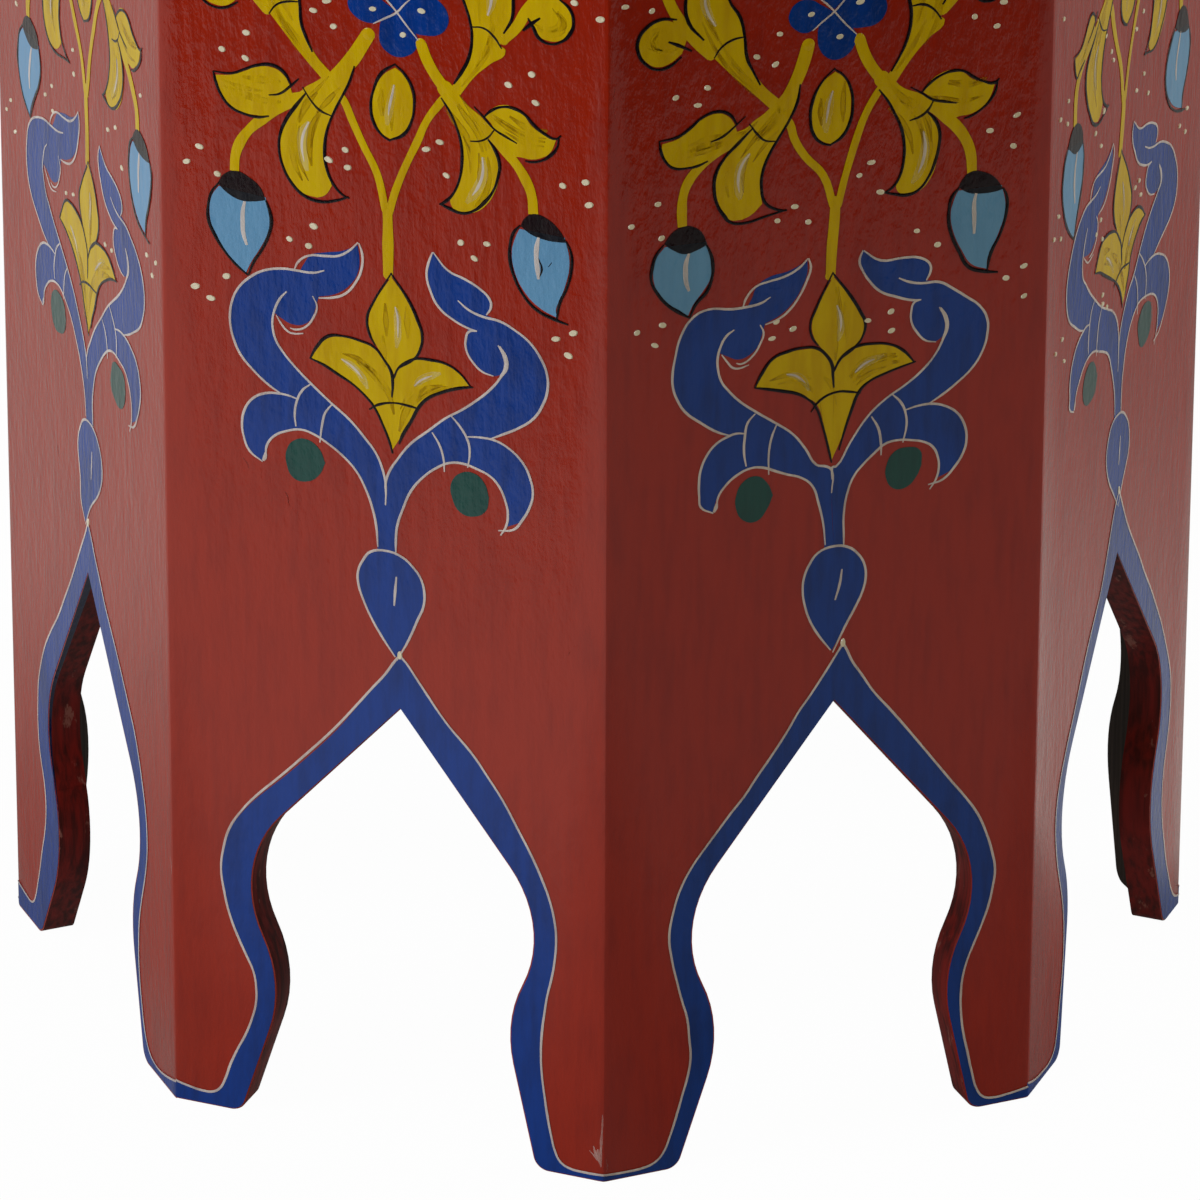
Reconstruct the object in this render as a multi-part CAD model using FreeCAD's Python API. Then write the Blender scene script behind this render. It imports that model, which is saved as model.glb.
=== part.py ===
import FreeCAD, Part
import math
import os

# An eight-sided side table of painted wood. Eight boards stand on end, mitred into a ring. An arch is
# sawn out of the lower end of each, so that the ring stands on eight feet, one at each corner. The top
# is four glued planks on cleats, and a moulding goes round its edge.
# Millimetres. The floor is z = 0, the middle of the ring is the origin, and the front faces -Y.

# The ring of side panels
body_across_flats = 398.0
board_thickness = 12.0
panel_height = 560.0

# The arch in a side panel, as half widths of the gap at heights over the floor
arch_height = 171.0
shoulder_half_width = 53.5
shoulder_level = 90.0
shoulder_radius = 43.8
knee_half_width = 44.6
knee_level = 50.0
toe_half_width = 56.6
toe_radius = 6.0

# How far the hand-held saw wandered from the template
saw_wander = 5.0

# The top and its moulding
plank_count = 4
plank_thickness = 20.0
moulding_projection = 16.0
moulding_height = 26.0
nosing_radius = 7.0
cove_radius = 6.0
moulding_lip = 3.0

# Framing inside the body
cleat_width = 20.0
cleat_height = 20.0
block_leg = 24.0
block_depth = 8.0
block_height = 110.0
batten_width = 40.0
batten_height = 20.0
batten_end_gap = 1.0

# Fasteners: brads cut from flat wire, and square cut nails with flat heads
brad_width = 1.25
brad_thickness = 1.0
brad_length = 30.0
brad_set = 2.0
cleat_brad_offset = 50.0
moulding_brad_length = 25.0
moulding_brad_set = 3.0
moulding_brad_offset = 45.0
nail_width = 2.4
nail_head_width = 6.0
nail_head_height = 1.2
nail_length = 32.0
nail_offset = 25.0

# Room round a fastener in its hole, and how far a cutting shape runs past what it cuts
hole_clearance = 0.05
cut_overrun = 20.0

# Places, as shares of the size that each one follows
corner_brad_height_shares = (0.08, 0.38, 0.69, 0.945)
batten_offset_share = 0.2136

# For each side, as shares of saw_wander: how far its whole arch lies to the right as seen from outside,
# how far the tip leans to the right of that, how far the tip stands too high, how far the shoulders
# stand too high, how much each half of the arch is narrower than the template, and how far the toes
# lie to the right of the arch's middle line
wander_shares = {
    "right": (0.2, -0.2, 1.7, 1.4, 0.0, 1.4),
    "back_right": (0.2, 0.3, 0.2, 0.0, 0.0, 0.2),
    "back": (0.6, -0.3, 0.4, 0.3, 0.0, -0.3),
    "back_left": (-0.2, 0.2, -0.2, 0.0, 0.0, 0.0),
    "left": (0.3, 0.4, 0.3, 0.2, 0.4, 0.3),
    "front_left": (0.5, -0.3, 0.2, 0.0, 1.3, -1.2),
    "front": (0.4, 0.7, 0.0, 0.2, 0.0, -0.4),
    "front_right": (0.9, -0.1, 0.3, 0.0, 0.0, -0.4),
}

side_names = list(wander_shares)
side_count = len(side_names)
full_turn = 360.0
right_angle = 90.0
turn_step = full_turn / side_count
mitre = math.radians(turn_step) / 2

apothem = body_across_flats / 2
half_side = apothem * math.tan(mitre)
inner_apothem = apothem - board_thickness
cleat_inner_apothem = inner_apothem - cleat_width
cleat_bottom = panel_height - cleat_height
table_height = panel_height + plank_thickness
plank_width = body_across_flats / plank_count

up = FreeCAD.Vector(0, 0, 1)
outward = FreeCAD.Vector(1, 0, 0)
rightward = FreeCAD.Vector(0, 1, 0)
axis_foot = FreeCAD.Vector(0, 0, 0)


def turned(shape, degrees):
    """A copy of a shape, turned about the table's upright axis."""
    copy = shape.copy()
    copy.rotate(axis_foot, up, degrees)
    return copy


def side_angle(name):
    return side_names.index(name) * turn_step


def prism(points, length):
    """A solid with flat sides: a closed outline, given by its corners, carried along a vector."""
    return Part.Face(Part.makePolygon(points + points[:1])).extrude(length)


def sector(low, high, reach):
    """The slice of the table that belongs to one side, between its two mitre planes."""
    half_reach = reach * math.tan(mitre)
    corners = [
        FreeCAD.Vector(0, 0, low),
        FreeCAD.Vector(reach, -half_reach, low),
        FreeCAD.Vector(reach, half_reach, low),
    ]
    return prism(corners, up * (high - low))


def ring_bar(inner, outer, low, high):
    """A straight bar with a square section along the side that faces +X, mitred at both ends."""
    length = 2 * outer
    corner = FreeCAD.Vector(inner, -length / 2, low)
    bar = Part.makeBox(outer - inner, length, high - low, corner)
    return bar.common(sector(low - cut_overrun, high + cut_overrun, outer + cut_overrun))


def square_bar(start, along, width_way, width, thickness, length):
    """A straight bar from a point, along a direction, with its width lying along width_way."""
    half_width = width_way * (width / 2)
    half_thickness = along.cross(width_way) * (thickness / 2)
    corners = [
        start - half_width - half_thickness,
        start + half_width - half_thickness,
        start + half_width + half_thickness,
        start - half_width + half_thickness,
    ]
    return prism(corners, along * length)


def brad(start, along, length, room):
    """A headless brad. Its width stands upright, or across where it points up."""
    return square_bar(start, along, up, brad_width + 2 * room, brad_thickness + 2 * room, length)


def nail(start, room):
    """A cut nail that points up, with a flat head at its lower end."""
    head_width = nail_head_width + 2 * room
    shank_width = nail_width + 2 * room
    head = square_bar(start, up, outward, head_width, head_width, nail_head_height)
    shank = square_bar(start, up, outward, shank_width, shank_width, nail_length)
    return head.fuse(shank).removeSplitter()


def cut_all(shape, tools):
    return shape.cut(Part.makeCompound(tools)) if tools else shape


# The arch. Its outline is drawn on the side that faces +X, where rightward and up are the paper's axes.
def on_board(across, height):
    return outward * (inner_apothem - cut_overrun) + rightward * across + up * height


def around(centre, radius, angle):
    """The point of a circle, drawn on the paper, at an angle from the rightward direction."""
    return centre + rightward * (radius * math.cos(angle)) + up * (radius * math.sin(angle))


def paper_angle(start, end):
    line = end - start
    return math.atan2(line.z, line.y)


def arc_between(centre, radius, first, last):
    middle = (first + last) / 2
    return Part.Arc(
        around(centre, radius, first),
        around(centre, radius, middle),
        around(centre, radius, last),
    ).toShape()


def arch_half(tip, lift, pinch, stray):
    """The right half of the arch from its tip to below the floor, drawn about the arch's middle line.

    The shoulder and the knee stand a lift higher than the template's. The half is narrower by a pinch,
    of which the toe takes half, and the toe lies wider by a stray.

    A straight line runs from the tip to the round shoulder. The shoulder meets the hollow arc of the
    knee, and a straight toe line leaves the knee for the floor. Each meets the next at a tangent.
    """
    narrowing = shoulder_half_width - knee_half_width
    drop = shoulder_level - knee_level
    between_centres = (narrowing**2 + drop**2) / (2 * narrowing)
    knee_radius = between_centres - shoulder_radius
    shoulder = on_board(shoulder_half_width - pinch - shoulder_radius, shoulder_level + lift)
    knee = on_board(knee_half_width - pinch + knee_radius, knee_level + lift)
    toe = on_board(toe_half_width - pinch / 2 + stray, 0)

    to_tip = paper_angle(shoulder, tip)
    leave_tip = to_tip - math.acos(shoulder_radius / shoulder.distanceToPoint(tip))
    to_knee = paper_angle(shoulder, knee)
    knee_start = to_knee + math.pi
    to_toe = paper_angle(knee, toe) + 2 * math.pi
    knee_end = to_toe - math.acos(knee_radius / knee.distanceToPoint(toe))
    knee_foot = around(knee, knee_radius, knee_end)

    toe_slope = paper_angle(toe, knee_foot)
    half_toe = toe_slope / 2
    toe_cut = toe_radius / math.tan(half_toe)
    toe_top = around(toe, toe_cut, toe_slope)
    toe_floor = around(toe, toe_cut, 0)
    toe_centre = toe_floor + up * toe_radius
    toe_middle = around(toe_centre, toe_radius, paper_angle(toe_centre, toe))
    below = toe_floor - up * cut_overrun

    return [
        Part.makeLine(tip, around(shoulder, shoulder_radius, leave_tip)),
        arc_between(shoulder, shoulder_radius, leave_tip, to_knee),
        arc_between(knee, knee_radius, knee_start, knee_end),
        Part.makeLine(knee_foot, toe_top),
        Part.Arc(toe_top, toe_middle, toe_floor).toShape(),
        Part.makeLine(toe_floor, below),
    ], below


def arch_cutter(name):
    """The solid that is sawn out of one side panel."""
    shift, lean, rise, lift, pinch, stray = (share * saw_wander for share in wander_shares[name])
    right_tip = on_board(lean, arch_height + rise)
    left_tip = on_board(-lean, arch_height + rise)
    right_edges, right_foot = arch_half(right_tip, lift, pinch, stray)
    left_edges, left_foot = arch_half(left_tip, lift, pinch, -stray)
    left_edges = [edge.mirror(axis_foot, rightward) for edge in left_edges]
    left_foot = FreeCAD.Vector(left_foot.x, -left_foot.y, left_foot.z)
    floor_edge = Part.makeLine(right_foot, left_foot)
    outline = Part.Wire(right_edges + [floor_edge] + left_edges[::-1])
    cutter = Part.Face(outline).extrude(outward * (board_thickness + 2 * cut_overrun))
    cutter.translate(rightward * shift)
    return cutter


# Fasteners, each drawn for the side that faces +X with a given room round it
def corner_brads(room):
    """Brads at the right-hand corner: in through this side's face, then along inside the next board."""
    into_next = FreeCAD.Vector(-math.sin(2 * mitre), math.cos(2 * mitre), 0)
    entry = half_side - board_thickness / 2 / math.sin(2 * mitre)
    brads = []
    for share in corner_brad_height_shares:
        face_point = FreeCAD.Vector(apothem, entry, share * panel_height)
        brads.append(brad(face_point + into_next * brad_set, into_next, brad_length, room))
    return brads


def cleat_brads(room):
    """Brads through the panel into the cleat behind it, set below the face."""
    height = cleat_bottom + cleat_height / 2
    brads = []
    for across in (-cleat_brad_offset, cleat_brad_offset):
        start = FreeCAD.Vector(apothem - brad_set, across, height)
        brads.append(brad(start, outward * -1, brad_length - brad_set, room))
    return brads


def cleat_nails(room):
    """Nails from below, through the cleat and into the top."""
    middle = inner_apothem - cleat_width / 2
    places = [FreeCAD.Vector(middle, across, cleat_bottom) for across in (-nail_offset, nail_offset)]
    return [nail(place, room) for place in places]


def moulding_brads(room):
    """Brads through the moulding's nosing into the plank edges."""
    height = table_height - nosing_radius
    start_x = apothem + moulding_projection - moulding_brad_set
    brads = []
    for across in (-moulding_brad_offset, moulding_brad_offset):
        start = FreeCAD.Vector(start_x, across, height)
        brads.append(brad(start, outward * -1, moulding_brad_length, room))
    return brads


def all_round(make, room):
    """One side's fasteners, repeated on every side of the table."""
    return [turned(piece, turn * turn_step) for turn in range(side_count) for piece in make(room)]


# Battens lie across the planks, between the cleats
batten_bottom = panel_height - batten_height
batten_offset = batten_offset_share * body_across_flats
batten_half_length = (
    cleat_inner_apothem / math.cos(2 * mitre)
    - (batten_offset + batten_width / 2) * math.tan(2 * mitre)
    - batten_end_gap
)


def batten(across_x):
    corner = FreeCAD.Vector(across_x - batten_width / 2, -batten_half_length, batten_bottom)
    return Part.makeBox(batten_width, 2 * batten_half_length, batten_height, corner)


def batten_nails(room):
    """Two nails in each half of a batten, one to a plank."""
    inner_nail = plank_width / 2
    outer_nail = (plank_width + batten_half_length) / 2
    nails = []
    for across_x in (-batten_offset, batten_offset):
        for across_y in (-outer_nail, -inner_nail, inner_nail, outer_nail):
            nails.append(nail(FreeCAD.Vector(across_x, across_y, batten_bottom), room))
    return nails


corner_holes = corner_brads(hole_clearance)
last_corner_holes = [turned(hole, -turn_step) for hole in corner_holes]
cleat_brad_holes = cleat_brads(hole_clearance)
cleat_nail_holes = cleat_nails(hole_clearance)


def side_panel(name):
    board = ring_bar(inner_apothem, apothem, 0, panel_height)
    board = board.cut(arch_cutter(name))
    return cut_all(board, corner_holes + last_corner_holes + cleat_brad_holes)


def top_cleat():
    bar = ring_bar(cleat_inner_apothem, inner_apothem, cleat_bottom, panel_height)
    return cut_all(bar, cleat_brad_holes + cleat_nail_holes)


def corner_block():
    """A five-sided glue block in the inner corner at the right-hand end of the side that faces +X."""
    next_out = FreeCAD.Vector(math.cos(2 * mitre), math.sin(2 * mitre), 0)
    next_right = FreeCAD.Vector(-math.sin(2 * mitre), math.cos(2 * mitre), 0)
    low = cleat_bottom - block_height
    corner = FreeCAD.Vector(inner_apothem, inner_apothem * math.tan(mitre), low)
    this_leg = corner - rightward * block_leg
    next_leg = corner + next_right * block_leg
    this_toe = this_leg - outward * block_depth
    next_toe = next_leg - next_out * block_depth
    return prism([corner, this_leg, this_toe, next_toe, next_leg], up * block_height)


def top_plank(number):
    """One plank of the top. Together the planks fill an octagon that is flush with the side panels."""
    low_edge = -apothem + number * plank_width
    corner = FreeCAD.Vector(-apothem, low_edge, panel_height)
    plank = Part.makeBox(body_across_flats, plank_width, plank_thickness, corner)
    first_corner = FreeCAD.Vector(apothem, half_side, panel_height - cut_overrun)
    corners = [turned(Part.Vertex(first_corner), turn * turn_step).Point for turn in range(side_count)]
    octagon = prism(corners, up * (plank_thickness + 2 * cut_overrun))
    plank = plank.common(octagon)
    holes = all_round(cleat_nails, hole_clearance) + all_round(moulding_brads, hole_clearance)
    return cut_all(plank, holes + batten_nails(hole_clearance))


def edge_moulding():
    """A strip with a round nosing over a hollow cove, mitred at both ends."""
    top = table_height
    bottom = top - moulding_height
    nose_x = apothem + moulding_projection - nosing_radius
    nose_z = top - nosing_radius
    nose_bottom = top - 2 * nosing_radius
    cove_foot = bottom + moulding_lip
    cove_top = cove_foot + cove_radius
    lip_x = nose_x - cove_radius
    bend = math.radians(right_angle / 2)

    def at(x, z):
        return FreeCAD.Vector(x, -table_height, z)

    cove_middle = at(nose_x - cove_radius * math.cos(bend), cove_foot + cove_radius * math.sin(bend))
    edges = [
        Part.makeLine(at(apothem, bottom), at(apothem, top)),
        Part.makeLine(at(apothem, top), at(nose_x, top)),
        Part.Arc(at(nose_x, top), at(nose_x + nosing_radius, nose_z), at(nose_x, nose_bottom)).toShape(),
        Part.makeLine(at(nose_x, nose_bottom), at(nose_x, cove_top)),
        Part.Arc(at(nose_x, cove_top), cove_middle, at(lip_x, cove_foot)).toShape(),
        Part.makeLine(at(lip_x, cove_foot), at(lip_x, bottom)),
        Part.makeLine(at(lip_x, bottom), at(apothem, bottom)),
    ]
    strip = Part.Face(Part.Wire(edges)).extrude(rightward * (2 * table_height))
    reach = apothem + moulding_projection + cut_overrun
    strip = strip.common(sector(bottom - cut_overrun, top + cut_overrun, reach))
    return cut_all(strip, moulding_brads(hole_clearance))


pieces = {}
cleat = top_cleat()
block = corner_block()
moulding = edge_moulding()
for name in side_names:
    angle = side_angle(name)
    pieces[f"side_panel_{name}"] = turned(side_panel(name), angle)
    pieces[f"top_cleat_{name}"] = turned(cleat, angle)
    pieces[f"corner_block_{name}"] = turned(block, angle)
    pieces[f"edge_moulding_{name}"] = turned(moulding, angle)
for number in range(plank_count):
    pieces[f"top_plank_{number + 1}"] = top_plank(number)
batten_holes = batten_nails(hole_clearance)
pieces["top_batten_left"] = cut_all(batten(-batten_offset), batten_holes)
pieces["top_batten_right"] = cut_all(batten(batten_offset), batten_holes)
pieces["corner_brads"] = Part.makeCompound(all_round(corner_brads, 0))
pieces["cleat_brads"] = Part.makeCompound(all_round(cleat_brads, 0))
pieces["cleat_nails"] = Part.makeCompound(all_round(cleat_nails, 0))
pieces["moulding_brads"] = Part.makeCompound(all_round(moulding_brads, 0))
pieces["batten_nails"] = Part.makeCompound(batten_nails(0))

os.makedirs("parts", exist_ok=True)
for node, shape in pieces.items():
    shape.exportStep(f"parts/{node}.step")
    print(node, len(shape.Solids), "solids,", round(shape.Volume), "cubic mm, valid:", shape.isValid())
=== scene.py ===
# %% [markdown]
# # A painted eight-sided side table
#
# The real table is eight boards, stood on end and mitred into a ring. Each board has a pointed arch
# sawn out of its foot, and is painted with gloss colours: a red ground, a blue border with a thin
# cream line, and a tall spray of scrolls, flowers and buds. A coat of varnish goes over everything.
#
# The joinery comes from the CAD model, and this lesson only dresses it. It could be dressed with
# textures on the CAD faces, but painted flowers are shapes with crisp edges, so here they are
# modelled: each colour is a very thin sheet that lies on the board, as real paint does.

# %% Load the joinery
import math
import random

import bmesh
import bpy
from mathutils import Matrix, Vector


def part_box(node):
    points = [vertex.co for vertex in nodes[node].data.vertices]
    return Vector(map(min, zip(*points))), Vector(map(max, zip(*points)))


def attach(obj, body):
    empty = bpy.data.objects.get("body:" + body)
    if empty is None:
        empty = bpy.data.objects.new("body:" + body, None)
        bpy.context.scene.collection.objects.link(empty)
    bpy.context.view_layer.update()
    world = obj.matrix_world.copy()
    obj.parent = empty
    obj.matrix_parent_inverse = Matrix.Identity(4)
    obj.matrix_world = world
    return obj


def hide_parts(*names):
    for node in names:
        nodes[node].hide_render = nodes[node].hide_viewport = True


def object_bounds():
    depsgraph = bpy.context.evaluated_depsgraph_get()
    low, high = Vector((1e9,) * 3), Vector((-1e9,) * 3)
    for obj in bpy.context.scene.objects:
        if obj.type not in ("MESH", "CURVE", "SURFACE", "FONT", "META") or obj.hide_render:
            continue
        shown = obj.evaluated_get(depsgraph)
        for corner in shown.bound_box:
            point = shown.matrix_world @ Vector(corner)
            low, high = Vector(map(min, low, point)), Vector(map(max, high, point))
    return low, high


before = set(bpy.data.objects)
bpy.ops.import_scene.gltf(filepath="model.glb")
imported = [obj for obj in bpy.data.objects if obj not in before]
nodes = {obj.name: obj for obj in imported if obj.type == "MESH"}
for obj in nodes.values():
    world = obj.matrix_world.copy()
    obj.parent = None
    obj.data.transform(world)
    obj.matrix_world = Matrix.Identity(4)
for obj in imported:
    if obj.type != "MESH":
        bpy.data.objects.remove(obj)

joinery_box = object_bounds()
print("The joinery has", len(nodes), "parts, up to", round(joinery_box[1].z, 3), "m high")

# %% [markdown]
# ## What the joinery measures
#
# The painting has to follow the boards, so its sizes are read from the boards and not typed in.
# Every side is drawn on the same sheet of paper: x runs to the right as seen from outside, y runs
# up from the floor, and z comes out of the face. One matrix lays that sheet on a side. The side
# that faces +X is the plain case, and the others are turns of it.

# %% Measure the boards
mm = 0.001
touching = 0.01 * mm
side_names = ["right", "back_right", "back", "back_left", "left", "front_left", "front", "front_right"]
turn_step = math.tau / len(side_names)
mitre = turn_step / 2
face_low, face_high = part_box("side_panel_front")
face_distance = -face_low.y
board_thickness = face_high.y - face_low.y
panel_height = face_high.z
half_side = face_high.x
table_height = joinery_box[1].z
sheet_on_right_side = Matrix(((0, 0, 1, face_distance), (1, 0, 0, 0), (0, 1, 0, 0), (0, 0, 0, 1)))


def lay_on(side):
    """The matrix that lays a drawing on the face of a side."""
    return Matrix.Rotation(turn_step * side_names.index(side), 4, "Z") @ sheet_on_right_side


print("A side is", round(2 * half_side / mm, 1), "mm wide and", round(panel_height / mm), "mm high")

# %% [markdown]
# ## The camera
#
# The photograph looks down on one corner from head height, through a long lens. Its place was
# worked out from the corners of the table, so that the render lies over the photograph. The
# camera stands at a bearing round the table, at a height, and is tipped down.

# %% Set up the camera
camera_distance = 3.3459
camera_height = 1.7127
camera_bearing = math.radians(-68.048)
camera_tip = math.radians(25.386)
camera_roll = math.radians(0.223)
lens_length = 303.516

camera = bpy.data.objects.new("camera", bpy.data.cameras.new("camera"))
bpy.context.scene.collection.objects.link(camera)
camera.data.lens = lens_length
camera.location = (
    camera_distance * math.cos(camera_bearing),
    camera_distance * math.sin(camera_bearing),
    camera_height,
)
facing = camera_bearing + math.pi / 2
camera.matrix_world = (
    Matrix.Translation(camera.location)
    @ Matrix.Rotation(facing, 4, "Z")
    @ Matrix.Rotation(math.pi / 2 - camera_tip, 4, "X")
    @ Matrix.Rotation(camera_roll, 4, "Z")
)
bpy.context.scene.camera = camera
bpy.context.scene.view_settings.view_transform = "Standard"
print("The camera is", round(camera.location.length, 2), "m from the table's foot")

# %% [markdown]
# ## Writing materials as sums
#
# A finish is a small program of nodes. Wiring it node by node hides what it works out, so a socket
# is wrapped in a class here: adding or multiplying two of them adds the Math node. Every other
# node is added by one method, which sets its settings first and then its sockets.


# %% Wrap a socket so that it can be added and multiplied
class Signal:
    """A number, a colour or a vector somewhere in a finish."""

    def __init__(self, finish, socket):
        self.finish = finish
        self.socket = socket

    def maths(self, operation, first, second):
        inputs = {"Value": first, "Value_001": second}
        return self.finish.node("ShaderNodeMath", {"operation": operation}, inputs)

    def __add__(self, other):
        return self.maths("ADD", self, other)

    def __sub__(self, other):
        return self.maths("SUBTRACT", self, other)

    def __rsub__(self, other):
        return self.maths("SUBTRACT", other, self)

    def __mul__(self, other):
        return self.maths("MULTIPLY", self, other)

    __radd__ = __add__
    __rmul__ = __mul__

    def step(self, low, high):
        """0 below low and 1 above high, with a soft change between them."""
        settings = {"interpolation_type": "SMOOTHSTEP"}
        inputs = {"Value": self, "From Min": low, "From Max": high}
        return self.finish.node("ShaderNodeMapRange", settings, inputs)

    def mix(self, first, second):
        """The first colour where this is 0, and the second where it is 1."""
        inputs = {"Factor_Float": self, "A_Color": first, "B_Color": second}
        return self.finish.node("ShaderNodeMix", {"data_type": "RGBA"}, inputs, "Result_Color")

    def beside(self, output):
        """Another output of the same node."""
        return Signal(self.finish, self.socket.node.outputs[output])


class Finish:
    """The nodes of a material or of the world, and the one method that adds to them."""

    def __init__(self, owner):
        owner.use_nodes = True
        self.owner = owner
        self.tree = owner.node_tree
        self.output = next(node for node in self.tree.nodes if node.type.startswith("OUTPUT"))
        self.shader = next(node for node in self.tree.nodes if node != self.output)

    def socket(self, sockets, name):
        """A socket by its identifier, or by its name where that is what is known."""
        named = [s for s in sockets if s.identifier == name] or [s for s in sockets if s.name == name]
        return named[0]

    def set(self, node, inputs):
        for name, value in inputs.items():
            socket = self.socket(node.inputs, name)
            if isinstance(value, Signal):
                self.tree.links.new(value.socket, socket)
            else:
                socket.default_value = value

    def node(self, kind, settings, inputs, output=None):
        added = self.tree.nodes.new(kind)
        for name, value in settings.items():
            setattr(added, name, value)
        self.set(added, inputs)
        return Signal(self, self.socket(added.outputs, output) if output else added.outputs[0])

    def object_place(self):
        return self.node("ShaderNodeTexCoord", {}, {}, "Object")

    def noise(self, stretch, detail=3.0, roughness=0.55):
        """Noise on the object's own metres, stretched by a scale along each axis."""
        place = self.node("ShaderNodeMapping", {}, {"Vector": self.object_place(), "Scale": stretch})
        inputs = {"Vector": place, "Scale": 1.0, "Detail": detail, "Roughness": roughness}
        return self.node("ShaderNodeTexNoise", {}, inputs)

    def bump(self, height, depth):
        """A surface that seems to stand out where the height is large, by about the depth."""
        inputs = {"Height": height, "Strength": 1.0, "Distance": depth}
        return self.node("ShaderNodeBump", {}, inputs, "Normal")

    def surface(self, inputs):
        self.set(self.shader, inputs)
        return self.owner


print("Finishes are written as sums of signals")

# %% [markdown]
# ## Gloss paint
#
# The paint is brushed on in upright strokes and varnished. What gives it away is not its colour but
# its skin: fine hairs from the brush, longer ridges, and a shine that smears what it reflects. So
# the colour varies only a little, and most of the work goes into the bump and the roughness. The
# noise is stretched along the height, and equally along the other two axes, so the same finish
# works on all eight sides. The brushed skin is shared by all the colours, and runs on from one to
# the next, because the varnish covers them together.


# %% Make the paints
def srgb(red, green, blue):
    """A colour picked from a picture, 0 to 255, as the light it stands for."""
    light = []
    for part in (red / 255, green / 255, blue / 255):
        light.append(part / 12.92 if part <= 0.04045 else ((part + 0.055) / 1.055) ** 2.4)
    return (*light, 1.0)


hair_stretch = (820.0, 820.0, 105.0)
dimple_stretch = (420.0, 420.0, 190.0)
ridge_stretch = (260.0, 260.0, 34.0)
patch_stretch = (55.0, 55.0, 40.0)
cloud_stretch = (16.0, 16.0, 9.0)
skin_depth = 0.18 * mm
least_roughness = 0.05


def gloss_paint(name, colour, shade, shade_share, sheerness=0.0, shine=0.5):
    """Varnished paint. The shade shows where the brush dragged. Sheer paint lets the ground through."""
    paint = Finish(bpy.data.materials.new(name))
    hair = paint.noise(hair_stretch, detail=2.0)
    dimple = paint.noise(dimple_stretch, roughness=0.6)
    ridge = paint.noise(ridge_stretch)
    cloud = paint.noise(cloud_stretch)
    patch = paint.noise(patch_stretch)
    drag = ridge * 0.6 + patch * 0.4
    height = dimple * 1.2 + hair * 0.3 + ridge * 0.8 + patch * 1.6 + cloud * 2.5
    inputs = {
        "Base Color": (drag.step(0.38, 0.72) * shade_share).mix(colour, shade),
        "Roughness": cloud * 0.1 + ridge * 0.06 + least_roughness,
        "Normal": paint.bump(height, skin_depth),
        "Specular IOR Level": shine,
    }
    if sheerness:
        inputs["Alpha"] = 1.0 - drag * 2 * sheerness
    return paint.surface(inputs)


red_ground = gloss_paint("red_ground", srgb(146, 30, 5), srgb(126, 21, 4), 0.6)
paints = {
    "blue": gloss_paint("blue_paint", srgb(2, 51, 127), srgb(2, 35, 92), 0.7, shine=0.42),
    "green": gloss_paint("green_paint", srgb(4, 64, 56), srgb(3, 48, 44), 0.7),
    "yellow": gloss_paint("yellow_paint", srgb(193, 161, 2), srgb(174, 136, 2), 0.8, shine=0.17),
    "ochre": gloss_paint(
        "ochre_paint", srgb(168, 127, 2), srgb(152, 106, 2), 0.5, sheerness=0.88, shine=0.17
    ),
    "sky": gloss_paint("sky_blue_paint", srgb(92, 141, 173), srgb(81, 128, 161), 0.6),
    "black": gloss_paint("black_paint", srgb(16, 12, 16), srgb(26, 18, 22), 0.5, sheerness=0.12, shine=0.3),
    "scuff": gloss_paint("scuffed_paint", srgb(48, 12, 8), srgb(70, 22, 16), 0.5, sheerness=0.95),
    "chip": gloss_paint("chipped_paint", srgb(212, 168, 156), srgb(186, 120, 104), 0.6, sheerness=0.74),
    "cream": gloss_paint("cream_paint", srgb(228, 216, 204), srgb(204, 188, 176), 0.5, sheerness=0.48),
    "glint": gloss_paint(
        "glint_paint", srgb(226, 204, 112), srgb(208, 182, 84), 0.5, sheerness=0.72, shine=0.17
    ),
    "dab": gloss_paint("cream_dab_paint", srgb(232, 222, 190), srgb(208, 192, 152), 0.6, sheerness=0.16),
}
# The lap's blue: thin paint over the red, darkened further as painted shade for the shade inside the arch.
thin_blue_in_painted_shade = gloss_paint("thin_blue_paint_in_painted_shade", srgb(5, 26, 66), srgb(4, 15, 40), 0.7)
print("Mixed", len(paints) + 2, "gloss paints")

# %% [markdown]
# ## Bare and stained wood, and steel
#
# The sawn edge of an arch is painted red too, but thinly and over a rough cut, so it is darker and
# duller. Inside, the boards, cleats and blocks have one coat of dark stain, through which the grain
# shows. The brads and nails are bright steel. These parts keep the CAD's own meshes, so only their
# material changes.


# %% Make the wood and steel finishes
fibre_depth = 0.15 * mm


def rough_wood(name, colour, grain_colour, roughness, wear_and_shade=None):
    """Wood under a thin coat. The fibres show, and in spots the coat is rubbed off."""
    wood = Finish(bpy.data.materials.new(name))
    fibre = wood.noise((420.0, 420.0, 14.0), detail=4.0)
    blotch = wood.noise((22.0, 22.0, 12.0))
    tone = (fibre * 0.7 + blotch * 0.3).step(0.35, 0.65)
    coat = tone.mix(colour, grain_colour)
    if wear_and_shade:
        spot = wood.noise((150.0, 150.0, 60.0), detail=5.0, roughness=0.7)
        coat = (spot.step(0.6, 0.68) * 0.7).mix(coat, wear_and_shade)
    return wood.surface({
        "Base Color": coat,
        "Roughness": fibre * 0.2 + roughness,
        "Normal": wood.bump(fibre, fibre_depth),
        "Specular IOR Level": 0.2,
    })


def bright_steel():
    steel = Finish(bpy.data.materials.new("bright_steel"))
    scratch = steel.noise((900.0, 900.0, 900.0))
    return steel.surface({
        "Base Color": (0.52, 0.52, 0.53, 1.0),
        "Metallic": 1.0,
        "Roughness": scratch * 0.25 + 0.2,
    })


sawn_edge = rough_wood("sawn_edge", srgb(122, 22, 14), srgb(66, 14, 10), 0.4, wear_and_shade=srgb(150, 96, 82))
stained_inside = rough_wood("stained_inside", srgb(70, 52, 42), srgb(40, 29, 24), 0.55)
steel_finish = bright_steel()

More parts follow.
